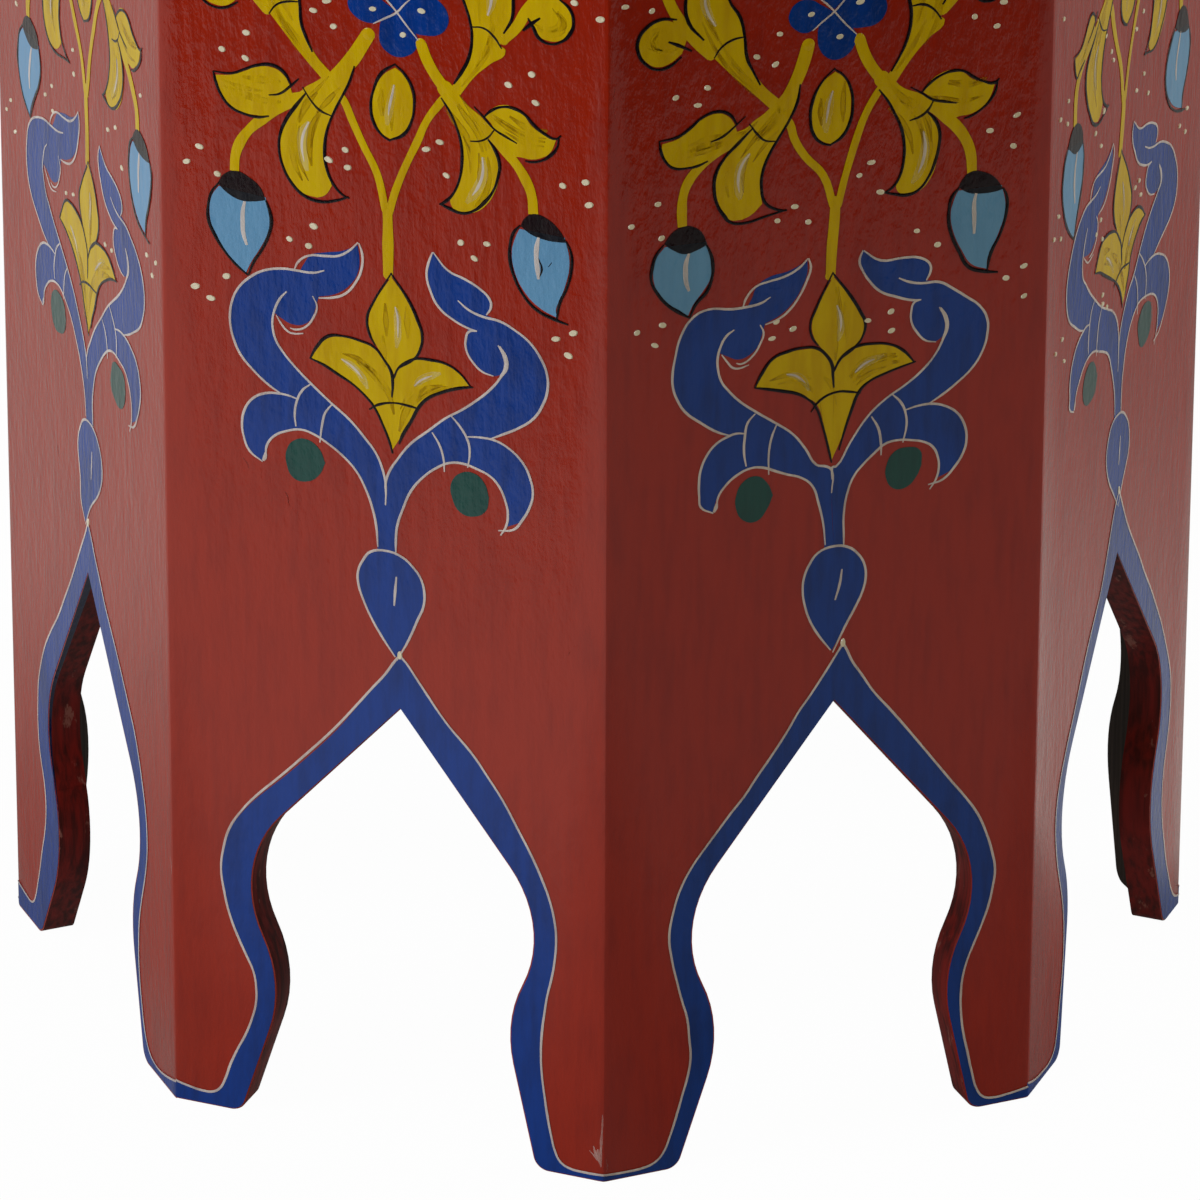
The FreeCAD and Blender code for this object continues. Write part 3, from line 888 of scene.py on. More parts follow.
# %% Draw the stems, trumpets and leaves
spray = {
    "fills": [
        ("yellow", [
            [(-24, 400.8), (-28.8, 397), (-31.2, 390.3), (-34.5, 385.3), (-36.9, 379.5), (-37.2, 373.7),
             (-36, 367.8), (-32.8, 362.3), (-29, 359), (-24, 358)],
            [(-24, 358), (-20.8, 359.5), (-18.3, 363.3)],
            [(-18.3, 363.3), (-20.8, 370.3), (-21.4, 377), (-20.4, 383.7), (-17.5, 391.2), (-14.6, 397),
             (-11.8, 403.3), (-10, 408.8)],
            [(-10, 408.8), (-14.5, 408.5), (-20, 404.2), (-24, 400.8)],
        ]),
        ("yellow", [
            [(27.2, 405.3), (31.3, 401.2), (36.3, 397.8)],
            [(36.3, 397.8), (41.4, 393.4)],
            [(41.4, 393.4), (39.2, 390), (41.4, 386.2), (43.2, 381.2), (43, 376.2), (41.6, 371),
             (38.6, 365.6), (34.2, 362), (29.8, 361.2), (27, 361.4)],
            [(27, 361.4), (25.5, 363.5), (25.2, 365.5)],
            [(25.2, 365.5), (27.6, 370), (29, 375), (30.2, 380.3), (29.8, 386.2), (28, 392), (25.9, 397),
             (23, 401.6)],
            [(23, 401.6), (20.5, 406), (24, 408.5), (27.2, 405.3)],
        ]),
        ("yellow", [
            [(-61, 397.4), (-55, 398.4), (-50, 400.6), (-45.8, 402.7), (-40, 403.3), (-36.2, 401.4),
             (-33.8, 398), (-32.9, 395)],
            [(-32.9, 395), (-27.8, 396.6)],
            [(-27.8, 396.6), (-31.5, 391.6), (-36, 388), (-41, 384.6), (-45, 384.9), (-50, 385),
             (-55.8, 387.2), (-58.7, 390.3), (-60.7, 394.5), (-61, 397.4)],
        ]),
        ("yellow", [
            [(64, 393.6), (59.3, 394.7), (55, 397.2), (52.2, 400.4), (48.8, 402.6), (44.7, 403),
             (40.5, 401), (37.8, 398.2)],
            [(37.8, 398.2), (41.2, 393.2), (39, 390.4)],
            [(39, 390.4), (43, 387.5), (47, 384.6), (50.5, 385), (54.7, 384.7), (58.6, 386), (61.7, 388.4),
             (64, 393.6)],
        ]),
        ("yellow", [
            [(5.4, 410.4), (0.9, 407.4), (-2.3, 401.2), (-3.2, 394.5), (-2, 389), (0.7, 385.5), (3.4, 384)],
            [(3.4, 384), (7.6, 386.6), (10.7, 392), (11.6, 397), (11.2, 402.6), (8.3, 408.3), (5.4, 410.4)],
        ]),
        ("yellow", [
            [(25.2, 406), (29.7, 412), (32.6, 418.7), (33.8, 426.2), (33, 432), (31.4, 437.5), (29, 444),
             (26, 450.5), (22.6, 457.5)],
            [(22.6, 457.5), (24.5, 460.8)],
            [(24.5, 460.8), (31, 460.8), (38, 458.2), (43.6, 453.4), (47, 446.6), (48, 440), (47.2, 434.4),
             (44.9, 429.6), (43.6, 424.5)],
            [(43.6, 424.5), (45.5, 422.8), (39.7, 417), (34.7, 412), (28.7, 403.8)],
            [(28.7, 403.8), (25.2, 406)],
        ]),
        ("yellow", [
            [(-17.8, 404.4), (-24, 410.6), (-27, 416.2), (-29, 421.6), (-29.8, 429), (-31.6, 436),
             (-36, 443), (-36.6, 450), (-33.4, 456)],
            [(-33.4, 456), (-30.5, 460)],
            [(-30.5, 460), (-37, 460.8), (-43.6, 458), (-48.6, 452.4), (-50.6, 445), (-49.6, 437.4),
             (-45.8, 430.4), (-41.6, 424)],
            [(-41.6, 424), (-35, 416.2), (-28.3, 409), (-21.7, 402)],
            [(-21.7, 402), (-17.8, 404.4)],
        ]),
    ],
    "streaks": [
        ([(-17, 402), (-22, 396), (-26, 391), (-29, 384), (-30, 377), (-29, 370), (-26, 364)], 5.0, 8),
        ([(25, 402), (29.5, 396), (33.5, 391), (36, 384), (36.5, 377), (35, 370), (31, 365)], 4.6, 7),
        ([(-58, 395), (-51, 393.5), (-44, 393.5), (-37, 394), (-30, 396)], 5.0, 4),
        ([(60, 392), (53, 392), (46, 395), (40, 398)], 4.5, 4),
        ([(4.4, 387), (4.4, 392), (4.3, 397), (4.3, 402), (4.8, 407)], 4.5, 4),
        ([(28, 408), (34, 416), (38.5, 424), (40.5, 432), (40, 441), (37, 449), (32, 456)], 4.5, 6),
        ([(-21, 406), (-28, 413), (-34.5, 421), (-39, 429), (-43, 438), (-43.5, 447), (-39, 455)], 4.5, 6),
    ],
    "lines": [
        ("yellow", 3.8, [(2.2, 333.6), (2.3, 345), (2.1, 353), (1.9, 360.5)]),
        ("yellow", 3.0, [
            (1.2, 357.5), (-1.7, 370.3), (-6.7, 380.3), (-10.8, 388.7), (-13.8, 395.3), (-20, 402.8)]),
        ("yellow", 2.8, [
            (2.9, 357), (4.7, 363.7), (6.8, 369.9), (9.7, 377), (13, 384.5), (16.8, 392.8), (21.3, 399.9),
            (25.5, 405.3)]),
        ("yellow", 5.2, [(-4.7, 420.8), (-7.3, 416.2), (-10.6, 411.2), (-15.2, 405.6), (-20, 400)]),
        ("yellow", 4.3, [(14.7, 420.4), (16.6, 415.6), (19.7, 410.4), (23.6, 405.6), (28, 400.6)]),
        ("yellow", 3.6, [
            (-28.5, 395), (-33.3, 391.4), (-39.2, 387.4), (-44.2, 383.7), (-49.2, 378.7), (-52.5, 373.7),
            (-54.2, 368.7), (-54.5, 362.8)]),
        ("yellow", 3.8, [
            (38, 393.5), (41.8, 390.3), (45.5, 386.2), (49.7, 382), (53, 377), (55.1, 372), (55.8, 364.8)]),
        ("yellow", 3.8, [
            (44.8, 426.6), (49.4, 432), (52.8, 438), (57.6, 444.6), (61, 452), (62.6, 461), (62.4, 470)]),
        ("yellow", 3.6, [
            (-42, 424), (-47.6, 430.2), (-52.4, 437), (-57.4, 446), (-60, 455), (-60.4, 463), (-60, 470)]),
        ("black", 1.1, [
            (-9.6, 408.8), (-11.3, 403.3), (-14.2, 397), (-17.1, 391.2), (-20, 383.7), (-21, 377),
            (-20.4, 370.3), (-17.5, 363.7), (-14.6, 360.8), (-12.1, 359.8)]),
        ("black", 1.2, [
            (-27.6, 396), (-31.7, 390.3), (-35, 385.3), (-37.5, 379.5), (-37.9, 373.7), (-36.7, 367.8),
            (-33.3, 362), (-29.2, 358.3), (-23.3, 356.8), (-16.7, 358.3), (-12.1, 360.2)]),
        ("black", 0.9, [(-29, 397.8), (-25.8, 393.3), (-22.5, 390.3), (-18.4, 389.2)]),
        ("black", 1.1, [
            (22.2, 402), (25.5, 397), (27.6, 392), (29.3, 386.2), (29.7, 380.3), (28.8, 374.5),
            (26.3, 367.8), (23.8, 364.5), (21.3, 362.8)]),
        ("black", 1.2, [
            (39, 389.8), (41.6, 386.2), (43.2, 381.2), (42.8, 376.2), (41, 371.2), (37.8, 366.2),
            (33.6, 362.4), (29.3, 361), (24.7, 362), (21.3, 363.2)]),
        ("black", 0.9, [(32.6, 388), (36.3, 388.7), (39.3, 390.3), (41.5, 393.5)]),
        ("black", 1.1, [
            (-62.2, 398.6), (-55, 399), (-50, 401.2), (-45.8, 403.3), (-40, 404.2), (-35.8, 402),
            (-33.2, 398)]),
        ("black", 1.1, [
            (-62, 398.6), (-61.3, 395.3), (-59.2, 390.3), (-55.8, 386.6), (-50, 384.5), (-45.5, 384.2),
            (-41.5, 385.4)]),
        ("black", 0.9, [(-41.6, 393), (-37.5, 394), (-33.3, 397.8), (-30.4, 400.8)]),
        ("black", 1.1, [
            (65.6, 395.2), (64, 393.7), (59.3, 395.3), (55.5, 397.8), (52.6, 400.8), (48.8, 402.4),
            (44.7, 402.4), (40.5, 400.3), (37.4, 397.4)]),
        ("black", 1.1, [
            (64.9, 394.6), (64.3, 390.8), (62.2, 387.8), (58.8, 385.3), (54.7, 384), (52.6, 384)]),
        ("black", 0.9, [(34, 400.8), (37.2, 397.8), (41.3, 393.7), (45.5, 391.6), (49.7, 389.9)]),
        ("black", 1.1, [
            (5.4, 411.8), (0.4, 407.8), (-2.9, 401.2), (-3.8, 394.5), (-2.5, 388.7), (0.4, 385),
            (3.4, 383.3)]),
        ("black", 1.1, [
            (2.6, 383.5), (8, 386.2), (11.3, 392), (12.2, 397), (11.8, 402.8), (8.8, 408.7), (5, 411.6)]),
        ("black", 1.2, [
            (26.8, 407.8), (29.3, 412), (32.2, 418.7), (33.4, 426.2), (32.6, 432), (30.9, 437),
            (28.4, 443.6), (25.4, 450.2), (21, 458.8)]),
        ("black", 0.9, [(33.2, 429.7), (37.6, 429.7), (41.3, 427.4), (44.3, 423.3)]),
        ("black", 1.2, [
            (44.7, 429), (47.6, 434), (48.5, 440), (47.6, 446.8), (44, 454), (38, 459), (31, 461.6),
            (24.4, 461.6), (20.6, 459.2)]),
        ("black", 1.2, [
            (-25.3, 411.4), (-27.6, 416.6), (-29.2, 421.2), (-29.8, 429), (-31.2, 436), (-35.4, 443),
            (-36, 450), (-32.8, 456.4), (-28.6, 461.2)]),
        ("black", 0.9, [(-41, 423), (-38.3, 426.6), (-34.2, 428.5), (-29.8, 429)]),
        ("black", 1.2, [
            (-44.6, 430), (-50.2, 437.4), (-51.3, 445), (-49.2, 452.8), (-44, 458.6), (-37, 461.5),
            (-28.6, 461.2)]),
    ],
    "glints": [
        (3.4, [(-26.7, 385.5), (-28.8, 381), (-29.3, 375.7), (-28.6, 370.8), (-27.4, 367.4)]),
        (3.4, [(37.2, 382.8), (37.3, 377), (35.5, 371.6), (33.4, 368.2), (31, 365.2)]),
        (3.0, [(4.7, 404), (3.9, 400), (3.2, 396), (2.6, 392.6), (2.2, 388.8)]),
        (3.4, [(39.1, 434.6), (40.3, 440.3), (39.4, 446), (37.6, 449.4), (35.6, 452.4)]),
        (3.2, [(-40.4, 434.6), (-43, 439), (-44.2, 443.4), (-43.8, 448), (-42.6, 451)]),
    ],
}
curled_leaves = {
    "fills": [
        ("yellow", [
            [(54.6, 434.6), (56.4, 430.6), (60.8, 429), (65.5, 429.8), (68.4, 433.2), (69.6, 437),
             (68.2, 441.4), (64, 444.4), (58.4, 444), (53, 438.6)],
            [(53, 438.6), (54.6, 434.6)],
        ]),
        ("yellow", [
            [(-50, 433), (-55.6, 438.2), (-60, 439.4), (-65, 437.4), (-67.8, 433.4), (-67.6, 429),
             (-65, 425), (-61.6, 423.2), (-57, 423.4), (-52.4, 426.6)],
            [(-52.4, 426.6), (-50, 433)],
        ]),
    ],
    "streaks": [
        ([(56, 434), (61, 432.6), (65.6, 436), (63, 440.4), (58, 441)], 2.0, 3),
        ([(-52, 430), (-58, 428), (-63, 431), (-61, 435.6), (-56, 434.6)], 2.0, 3),
    ],
    "lines": [
        ("black", 1.2, [
            (53.6, 436), (55.5, 432.8), (57.6, 429.6), (61.3, 428), (65.5, 429), (68.8, 432.4), (70.3, 437),
            (68.8, 441.6), (65, 444.6)]),
        ("black", 1.3, [(51.8, 431), (54.5, 433.8), (58, 436.6)]),
        ("black", 1.2, [
            (-54.4, 439.2), (-60.4, 440), (-65.6, 438), (-68.6, 433.8), (-68.4, 428.8), (-65.6, 424.4),
            (-61.8, 422.4), (-57, 422.6), (-52.6, 425.4)]),
        ("black", 1.3, [(-57.4, 431.4), (-54, 429.8), (-49, 426.8)]),
    ],
}
print("The spray has", len(spray["lines"]) + len(curled_leaves["lines"]), "lines")

# %% [markdown]
# ## Buds and a rosette
#
# Two pale blue buds hang from the leaves under black caps, and two more stand on the upper stems. A
# blue rosette sits where the tubes of the trumpets meet, with a cream cross and four cream dabs.

# %% Draw the buds and the rosette
buds = {
    "fills": [
        ("sky", [
            [(-60.4, 356.4), (-63, 352.8), (-63.8, 347.5), (-62.8, 341), (-60, 334.6), (-55.4, 329.4),
             (-50, 326.2)],
            [(-50, 326.2), (-48.4, 330), (-45.2, 335.8), (-42.6, 341), (-41.4, 347), (-43, 355)],
            [(-43, 355), (-60.4, 356.4)],
        ]),
        ("black", [
            [(-60.8, 357.4), (-58.3, 361.2), (-54.2, 363), (-49.2, 361.6), (-45, 358.3), (-42.9, 354)],
            [(-42.9, 354), (-47.5, 352.8), (-52.5, 352.4), (-57.4, 354.6), (-60.8, 357.4)],
        ]),
        ("sky", [
            [(50.6, 358.6), (49, 355.4), (47.8, 350), (49.2, 342), (52.8, 335.6), (58, 330.8),
             (64.6, 328.2)],
            [(64.6, 328.2), (64, 331), (64.9, 334.4), (67.2, 340), (69, 349.5), (67, 358)],
            [(67, 358), (50.6, 358.6)],
        ]),
        ("black", [
            [(50.9, 360), (52.2, 362.4), (55.5, 365), (60.5, 364), (64.7, 361.2), (67.9, 356.6)],
            [(67.9, 356.6), (64.7, 356.2), (59.7, 356.2), (54.7, 357.4), (50.9, 360)],
        ]),
        ("sky", [
            [(54.8, 477), (53.6, 483), (54.2, 490), (57, 498), (61.6, 506)],
            [(61.6, 506), (66.8, 498.6), (69.8, 490), (70.2, 483), (68.8, 476.6)],
            [(68.8, 476.6), (54.8, 477)],
        ]),
        ("black", [
            [(54.2, 478), (56.4, 472), (61.6, 469.4), (66.8, 471.6), (69.6, 477.4)],
            [(69.6, 477.4), (65, 479.6), (59, 480), (54.2, 478)],
        ]),
        ("sky", [
            [(-67.2, 477), (-68.2, 483), (-67.4, 490), (-64.4, 498), (-59.8, 506)],
            [(-59.8, 506), (-55, 498.6), (-52.4, 490), (-52, 483), (-53.2, 476.6)],
            [(-53.2, 476.6), (-67.2, 477)],
        ]),
        ("black", [
            [(-67.8, 478), (-65.4, 472), (-60.2, 469.4), (-55, 471.6), (-52.4, 477.4)],
            [(-52.4, 477.4), (-57, 479.6), (-63, 480), (-67.8, 478)],
        ]),
    ],
    "lines": [
        ("black", 1.2, [
            (-60.8, 357.4), (-63.3, 353.7), (-64.3, 348.7), (-64.4, 344), (-62, 338.3), (-58, 332.4),
            (-53.8, 328.4), (-49.3, 325.2)]),
        ("black", 1.2, [
            (-43, 354), (-41.2, 349.5), (-41, 346), (-41.6, 342), (-44.1, 335.8), (-47, 330.8),
            (-49.3, 325.2)]),
        ("black", 1.2, [
            (51, 360), (48.4, 357), (47, 352), (47.1, 347), (48.3, 341.7), (51.7, 335), (56.7, 330),
            (63.2, 327.6), (68.3, 326.3)]),
        ("black", 1.2, [
            (67.6, 357), (69.3, 353.7), (69.7, 349.5), (67.9, 340), (65.4, 334.2), (64.2, 327.4)]),
        ("black", 1.1, [(54.2, 478), (52.8, 483), (53.4, 490), (56.4, 498.6), (61.8, 508.4)]),
        ("black", 1.1, [(69.4, 477), (71, 483), (70.6, 490), (67.4, 499), (61.6, 508.4)]),
        ("black", 1.1, [(-67.8, 478), (-69, 483), (-68.2, 490), (-65.2, 498.6), (-60, 508.4)]),
        ("black", 1.1, [(-52.6, 477), (-51.2, 483), (-51.6, 490), (-54.4, 499), (-59.8, 508.4)]),
        ("cream", 2.4, [(-50.8, 352.4), (-51.6, 348.4), (-51.6, 344), (-51.1, 340.4), (-50, 336.4)]),
        ("cream", 2.4, [(57.5, 356.8), (56.9, 353), (56.8, 349), (57.1, 345.4), (57.7, 341.4)]),
        ("cream", 2.4, [(60.3, 480.6), (59.5, 484.6), (59.4, 488), (59.8, 491.6), (60.9, 496)]),
        ("cream", 2.4, [(-61.3, 480.6), (-62.1, 484.6), (-62.2, 488), (-61.8, 491.6), (-60.7, 496)]),
    ],
}
rosette = {
    "fills": [
        ("blue", [
            [(5.6, 431), (1.4, 433.8), (-3.4, 436.6), (-8.6, 436.4), (-11.6, 433.6), (-12, 430.6),
             (-9.6, 427.2), (-5.4, 425.2), (-1.8, 425.6), (5.6, 431)],
        ]),
        ("blue", [
            [(6, 430.4), (0.6, 427.2), (-0.6, 422.4), (0, 418.4), (2.6, 415.4), (5.9, 414.4), (10, 415.4),
             (12.8, 418.4), (13.6, 422.4), (6, 430.4)],
        ]),
        ("blue", [
            [(6.2, 431), (11.6, 424.6), (16.6, 423.9), (21.4, 425), (24.4, 428.4), (24.6, 432), (22, 436.4),
             (17, 438.4), (11.6, 437), (6.2, 431)],
        ]),
        ("blue", [
            [(6, 431.4), (0.8, 436.2), (-0.8, 441), (0.6, 445.4), (4.6, 447.9), (9, 447.2), (12.2, 443.8),
             (12, 438.6), (6, 431.4)],
        ]),
    ],
    "lines": [
        ("cream", 0.9, [(-2.6, 425.2), (1.6, 427.8), (5.9, 430.8), (8.6, 433.6), (12, 437.2)]),
        ("cream", 0.9, [(0.4, 436.4), (3, 434), (5.9, 430.8), (9.6, 426.4), (13.8, 421.8)]),
    ],
    "dabs": [(8, 422.2), (15.5, 432.8), (-2.8, 431), (4.8, 441.6)],
}
upper_stem = {"lines": [("yellow", 3.4, [(4.6, 446.6), (4.2, 451), (3.8, 456.6)])]}
print("The rosette has", len(rosette["fills"]), "petals")

# %% [markdown]
# ## Dots and wear
#
# Last of all, while the brush was wet with cream, dots went into every bare patch of red, mostly in
# threes. They were never put twice in the same places, so each side in the photograph has its own,
# up to where the photograph ends. Two large green spots sit under the scrolls. Years of use added
# scuffs, and a chip low on the front corner.

# %% Prick the dots and the worn places
dots = [
    (-24.6, 426.3), (-17.3, 421.8), (-49.6, 414.5), (-58.8, 407.2), (-50, 405.2), (-13.3, 377.3),
    (-19.8, 372.7), (-12.3, 370.8), (-67.7, 369.9), (-72.5, 363.7), (-61, 360.7), (-25.3, 347.2),
    (-19.8, 430.8), (55, 415.5), (46.5, 410.3), (56.6, 405.3), (70.5, 443.5), (78.4, 439), (21.5, 385.5),
    (16.5, 382.2), (24, 373.8), (66.3, 376.6), (74.7, 379.3), (76, 371.3), (29, 350), (38.7, 351),
    (34, 345), (-58.1, 323.1), (-34.2, 341), (-27.3, 339.5), (70.3, 323.3), (63.9, 320.1), (68.7, 314.7),
    (-16, 456), (-22, 449), (-12, 466), (20, 470), (29, 472), (24, 480), (-30, 474), (-38, 470), (-34, 482),
    (36, 500), (44, 504), (39, 511), (-34, 503), (-42, 507), (-36, 514), (60, 520), (67, 526), (58, 529),
    (-60, 520), (-67, 526), (-57, 529), (14, 526), (-8, 527),
]
seen_dots = {
    "front": [
        (70.2, 445.4), (79.5, 440.9), (-20, 432.2), (-25, 428), (-17.6, 423.3), (54.8, 417.2), (-49.9, 416),
        (46.3, 412.1), (-59, 408.6), (56.2, 407.1), (-50.3, 406.6), (21.2, 387.2), (16.2, 383.8),
        (74.4, 381.1), (-13.6, 378.8), (66.1, 378.5), (23.6, 375.4), (-19.9, 374.2), (75.7, 373),
        (-12.8, 372.4), (-67.9, 371.3), (-72.8, 365), (-61.3, 362.2), (38.4, 352.6), (28.8, 351.5),
        (-25.6, 348.6), (33.8, 346.5), (-34.6, 342.4), (-27.5, 341), (70.1, 324.9), (-58.4, 324.6),
        (63.7, 321.7), (-70.2, 318.9), (68.3, 316.3), (-64.4, 315.4),
    ],
    "front_right": [
        (-76.3, 444.9), (-66.6, 442), (-19.7, 426.4), (-28.1, 419.4), (-21.2, 415.6), (-46.1, 411),
        (-57.7, 409.2), (-49.6, 405.2), (52.6, 421.5), (61, 416.8), (63.4, 425.2), (69.3, 382.8),
        (59.2, 378.6), (68.2, 371.5), (14.9, 374), (10.5, 369.9), (18.5, 362.5), (-64, 371.4),
        (-73.7, 364.7), (-62.6, 358.7), (-13.4, 362.3), (-19.8, 358.1), (-8.3, 355.8), (32.4, 345.8),
        (40.3, 339.4), (73.2, 326), (66.5, 322.6), (73.5, 314.7), (-19.7, 320.6), (-13.5, 317),
        (-21.3, 314.7), (14.4, 315.4), (23.2, 317.3), (23.5, 310.1), (-62, 326.5), (-71.4, 325.3),
        (-64.8, 319.5),
    ],
    "front_left": [
        (-61.8, 367.7), (-3.9, 371.9), (-3.4, 363), (-26.4, 349.7), (-33.4, 343.8), (63.4, 380.5),
        (30.2, 355), (37.8, 358.7), (-66, 317), (-74.5, 322.4), (-70, 327.6), (-25.9, 340.3), (43.6, 345.8),
        (-13.7, 313.8), (-6.4, 316.1), (25.4, 309.7), (31.9, 310), (67.1, 322.4), (75.9, 322.9),
        (72.2, 316.7),
    ],
    "right": [
        (-72.2, 412.2), (12.2, 383.5), (5.1, 379.4), (-27.5, 389.1), (-21.2, 380.9), (-18.8, 376.8),
        (14.7, 359), (7, 355.5), (19.7, 349.7), (-65.4, 379.3), (-27.5, 361), (-35.9, 355.8),
        (-73.2, 375.3), (-65.8, 370.9), (-29.7, 348.7), (63.6, 327.1), (55.8, 323.2), (62.2, 318.6),
        (12.6, 319.1), (8.4, 318), (14.7, 312.9), (-72.8, 339.1), (-28.1, 320.1), (-32.5, 316.3),
        (-25.9, 312), (-76.9, 332), (-70.1, 329.6), (-23.8, 289.8), (-23.5, 286.2), (-19.1, 283.3),
        (-65.9, 290), (-72.4, 287.1), (-63.2, 280.7),
    ],
}
seen_top = 447
dot_sizes = {"front": 0.95, "front_right": 0.84, "front_left": 0.76, "right": 0.76}
green_spots = [(-29.5, 258.9), (32.3, 256.7)]
green_spot_size = (14.8, 16.4)
worn_places = {
    "front": [
        ("scuff", 0.5, [(-38, 248), (-36.4, 245.4), (-35.6, 242), (-33.4, 240.2), (-31.6, 237)]),
        ("scuff", 0.4, [(-53, 257), (-51.6, 255.4), (-50.8, 253)]),
        ("scuff", 0.6, [(68.4, 203.6), (70.6, 207), (73, 208.6)]),
        ("black", 0.7, [(57.4, 350.4), (58.6, 346.8), (57.6, 343.4)]),
        ("black", 0.6, [(62.2, 349.8), (61, 348)]),
        ("chip", 0.8, [(82, 27), (81.9, 23), (81.7, 19)]),
        ("chip", 1.3, [(81.8, 21), (81.5, 16), (81.5, 11)]),
        ("chip", 1.6, [(81.4, 14), (81.2, 10), (81.5, 6)]),
        ("chip", 1.5, [(80.2, 13), (80.4, 10), (81.2, 7)]),
        ("chip", 1.0, [(78.6, 14), (79.4, 11), (80.6, 8)]),
        ("chip", 0.6, [(77, 12), (78.6, 10.4), (80, 8.4)]),
    ],
    "front_right": [
        ("scuff", 0.5, [(-79.6, 418), (-80.4, 412), (-79.8, 405)]),
        ("chip", 0.4, [(-81.4, 9), (-81, 6), (-81.3, 4)]),
    ],
    "front_left": [
        ("scuff", 0.5, [(-30, 214), (-28, 208), (-27, 203)]),
        ("chip", 0.5, [(80.8, 96), (81.4, 92), (81, 88)]),
    ],
}
print("There are", len(dots), "dots on a side")

# %% [markdown]
# ## One drawing, eight hands
#
# On each side the painter missed the pattern by a few millimetres, by a different amount in every
# part of it. So each side has landmarks: points of the master drawing, and how far they moved. Any
# other point moves by the average of the landmarks, in which the near ones count most. The four
# sides in the photograph were measured. The others get small chance moves of the same size. The
# pattern as a whole slipped up a little against the marks on the board, and that is one number.

# %% Say how far each side misses the drawing
measured_moves = {
    "front": {
        (-25.3, 298.8): (-1.9, -1), (32.5, 297.3): (0.2, -0.2), (3.8, 285.7): (0.3, 0.5),
        (3.4, 333.8): (0, 0), (-53, 269.2): (0, 0), (55.7, 260.8): (0, 0), (0.7, 251.3): (0, 0),
        (1.7, 359.5): (0, 0), (-38, 380): (0, 0), (40, 380): (0, 0),
    },
    "front_right": {
        (0.8, 229.6): (2.2, 1), (0.7, 253): (1.3, 5), (-29.5, 258.9): (2, -5.4), (-45.3, 255.4): (2.8, -4),
        (-53, 269.2): (5, -6), (32.3, 256.7): (-3.3, -1.7), (42.9, 245): (-4.4, 3),
        (55.7, 260.8): (-2.9, 2.2), (-56.2, 308): (-1.8, -4), (-32, 330): (0, -3.5),
        (-8.7, 343.8): (0.7, -2.8), (60.8, 303.5): (-0.8, 0.5), (30.7, 313): (0.3, 0),
        (18.8, 345): (-6.3, -4.5), (40, 328): (-2, 0.5), (3.4, 333.8): (-1.9, -0.4),
        (-25.3, 298.8): (-2.2, -2.8), (32.5, 297.3): (0, -1.8), (3.3, 268): (-1.5, -4.2),
        (3.8, 285.7): (-1, 3.5), (3.4, 297): (-1.5, 2), (1.7, 359.5): (0, 1.7), (-20, 402.8): (-0.8, -4.1),
        (25, 405.5): (-5, -3), (-61.7, 398.3): (-1.6, -5.9), (64.7, 393.7): (-3, 0.9),
        (-37.9, 373.7): (-5.4, -2), (-23.3, 356.8): (-9, 1.2), (29.3, 361): (-0.5, -2.7),
        (-54.2, 363): (-0.4, -2.7), (55.5, 365): (-3, -2), (-49.5, 325.4): (-2.5, 1),
        (63.8, 327.5): (-5, -2.5), (4.3, 397.3): (-4.7, -2.8), (5.9, 430.8): (-5.5, -0.7),
        (62.6, 436.2): (-4, -3), (-57.5, 430): (-3, -3),
    },
    "front_left": {
        (3.4, 333.8): (6.6, -0.8), (3.3, 268): (3.4, -1.3), (-25.3, 298.8): (4.5, 1.2),
        (32.5, 297.3): (3.3, 1), (-56.2, 310): (2, 1.7), (-8.7, 343.8): (9.5, 5), (60.8, 303.5): (3.4, 0),
        (18.8, 345): (3, -1), (-53, 269.2): (6, 0.8), (-45.3, 255.4): (5, 3), (-29.5, 258.9): (5.3, 3.6),
        (32.3, 256.7): (3.5, 2), (55.7, 260.8): (3.3, 4), (2.6, 216): (3.2, 0.7), (0.8, 229.6): (5, 2),
        (-54.2, 363): (5, 3), (-49.5, 325.4): (0, 2), (55.5, 365): (4.5, 0), (63.8, 327.5): (2, 0),
        (1.7, 359.5): (7, 2), (29.3, 361): (4, 2), (64.7, 393.7): (0.3, 2.3), (-23.3, 356.8): (2, 6),
    },
    "right": {
        (3.4, 333.8): (-10.9, 2.9), (3.3, 268): (-5.3, 7.8), (-25.3, 298.8): (-7.2, 1.2),
        (32.5, 297.3): (-12.5, 4.4), (-56.2, 310): (-6.3, -5), (-8.7, 343.8): (-8, -0.5),
        (60.8, 303.5): (-6, -1.8), (18.8, 345): (-13.8, -2), (-29.5, 258.9): (-5.5, 0),
        (32.3, 256.7): (-9, 0.8), (-53, 269.2): (-3.7, -2.5), (-45.3, 255.4): (-6.4, -0.4),
        (55.7, 260.8): (-6.5, 4), (42.9, 245): (-9.6, 2.5), (2.6, 216): (-5, 4), (0.8, 229.6): (-5, 4.4),
        (-54.2, 363): (-3.3, 3), (55.5, 365): (-2.2, 3), (63.8, 327.5): (-7, 0), (48.3, 341.7): (-9, 0),
        (69.6, 350): (-5, 0), (1.7, 359.5): (-8.4, -1.5), (-37.9, 373.7): (-9.6, 3),
        (-17.5, 363.7): (-11, 0), (29.3, 361): (-6, 2.3), (-61.7, 398.3): (1.7, -6.6),
    },
}
landmark_power = 3
arch_landmark, master_tip = (5.5, 190), (5.5, 171)
still_landmark = (4, 535)
chance_landmarks = [(x, y) for y in (215, 265, 310, 360, 405, 450, 500) for x in (-45, 0, 45)]
chance_move = 3.5
paper_slip = (-0.2, 1.5)
trembling = 0.15


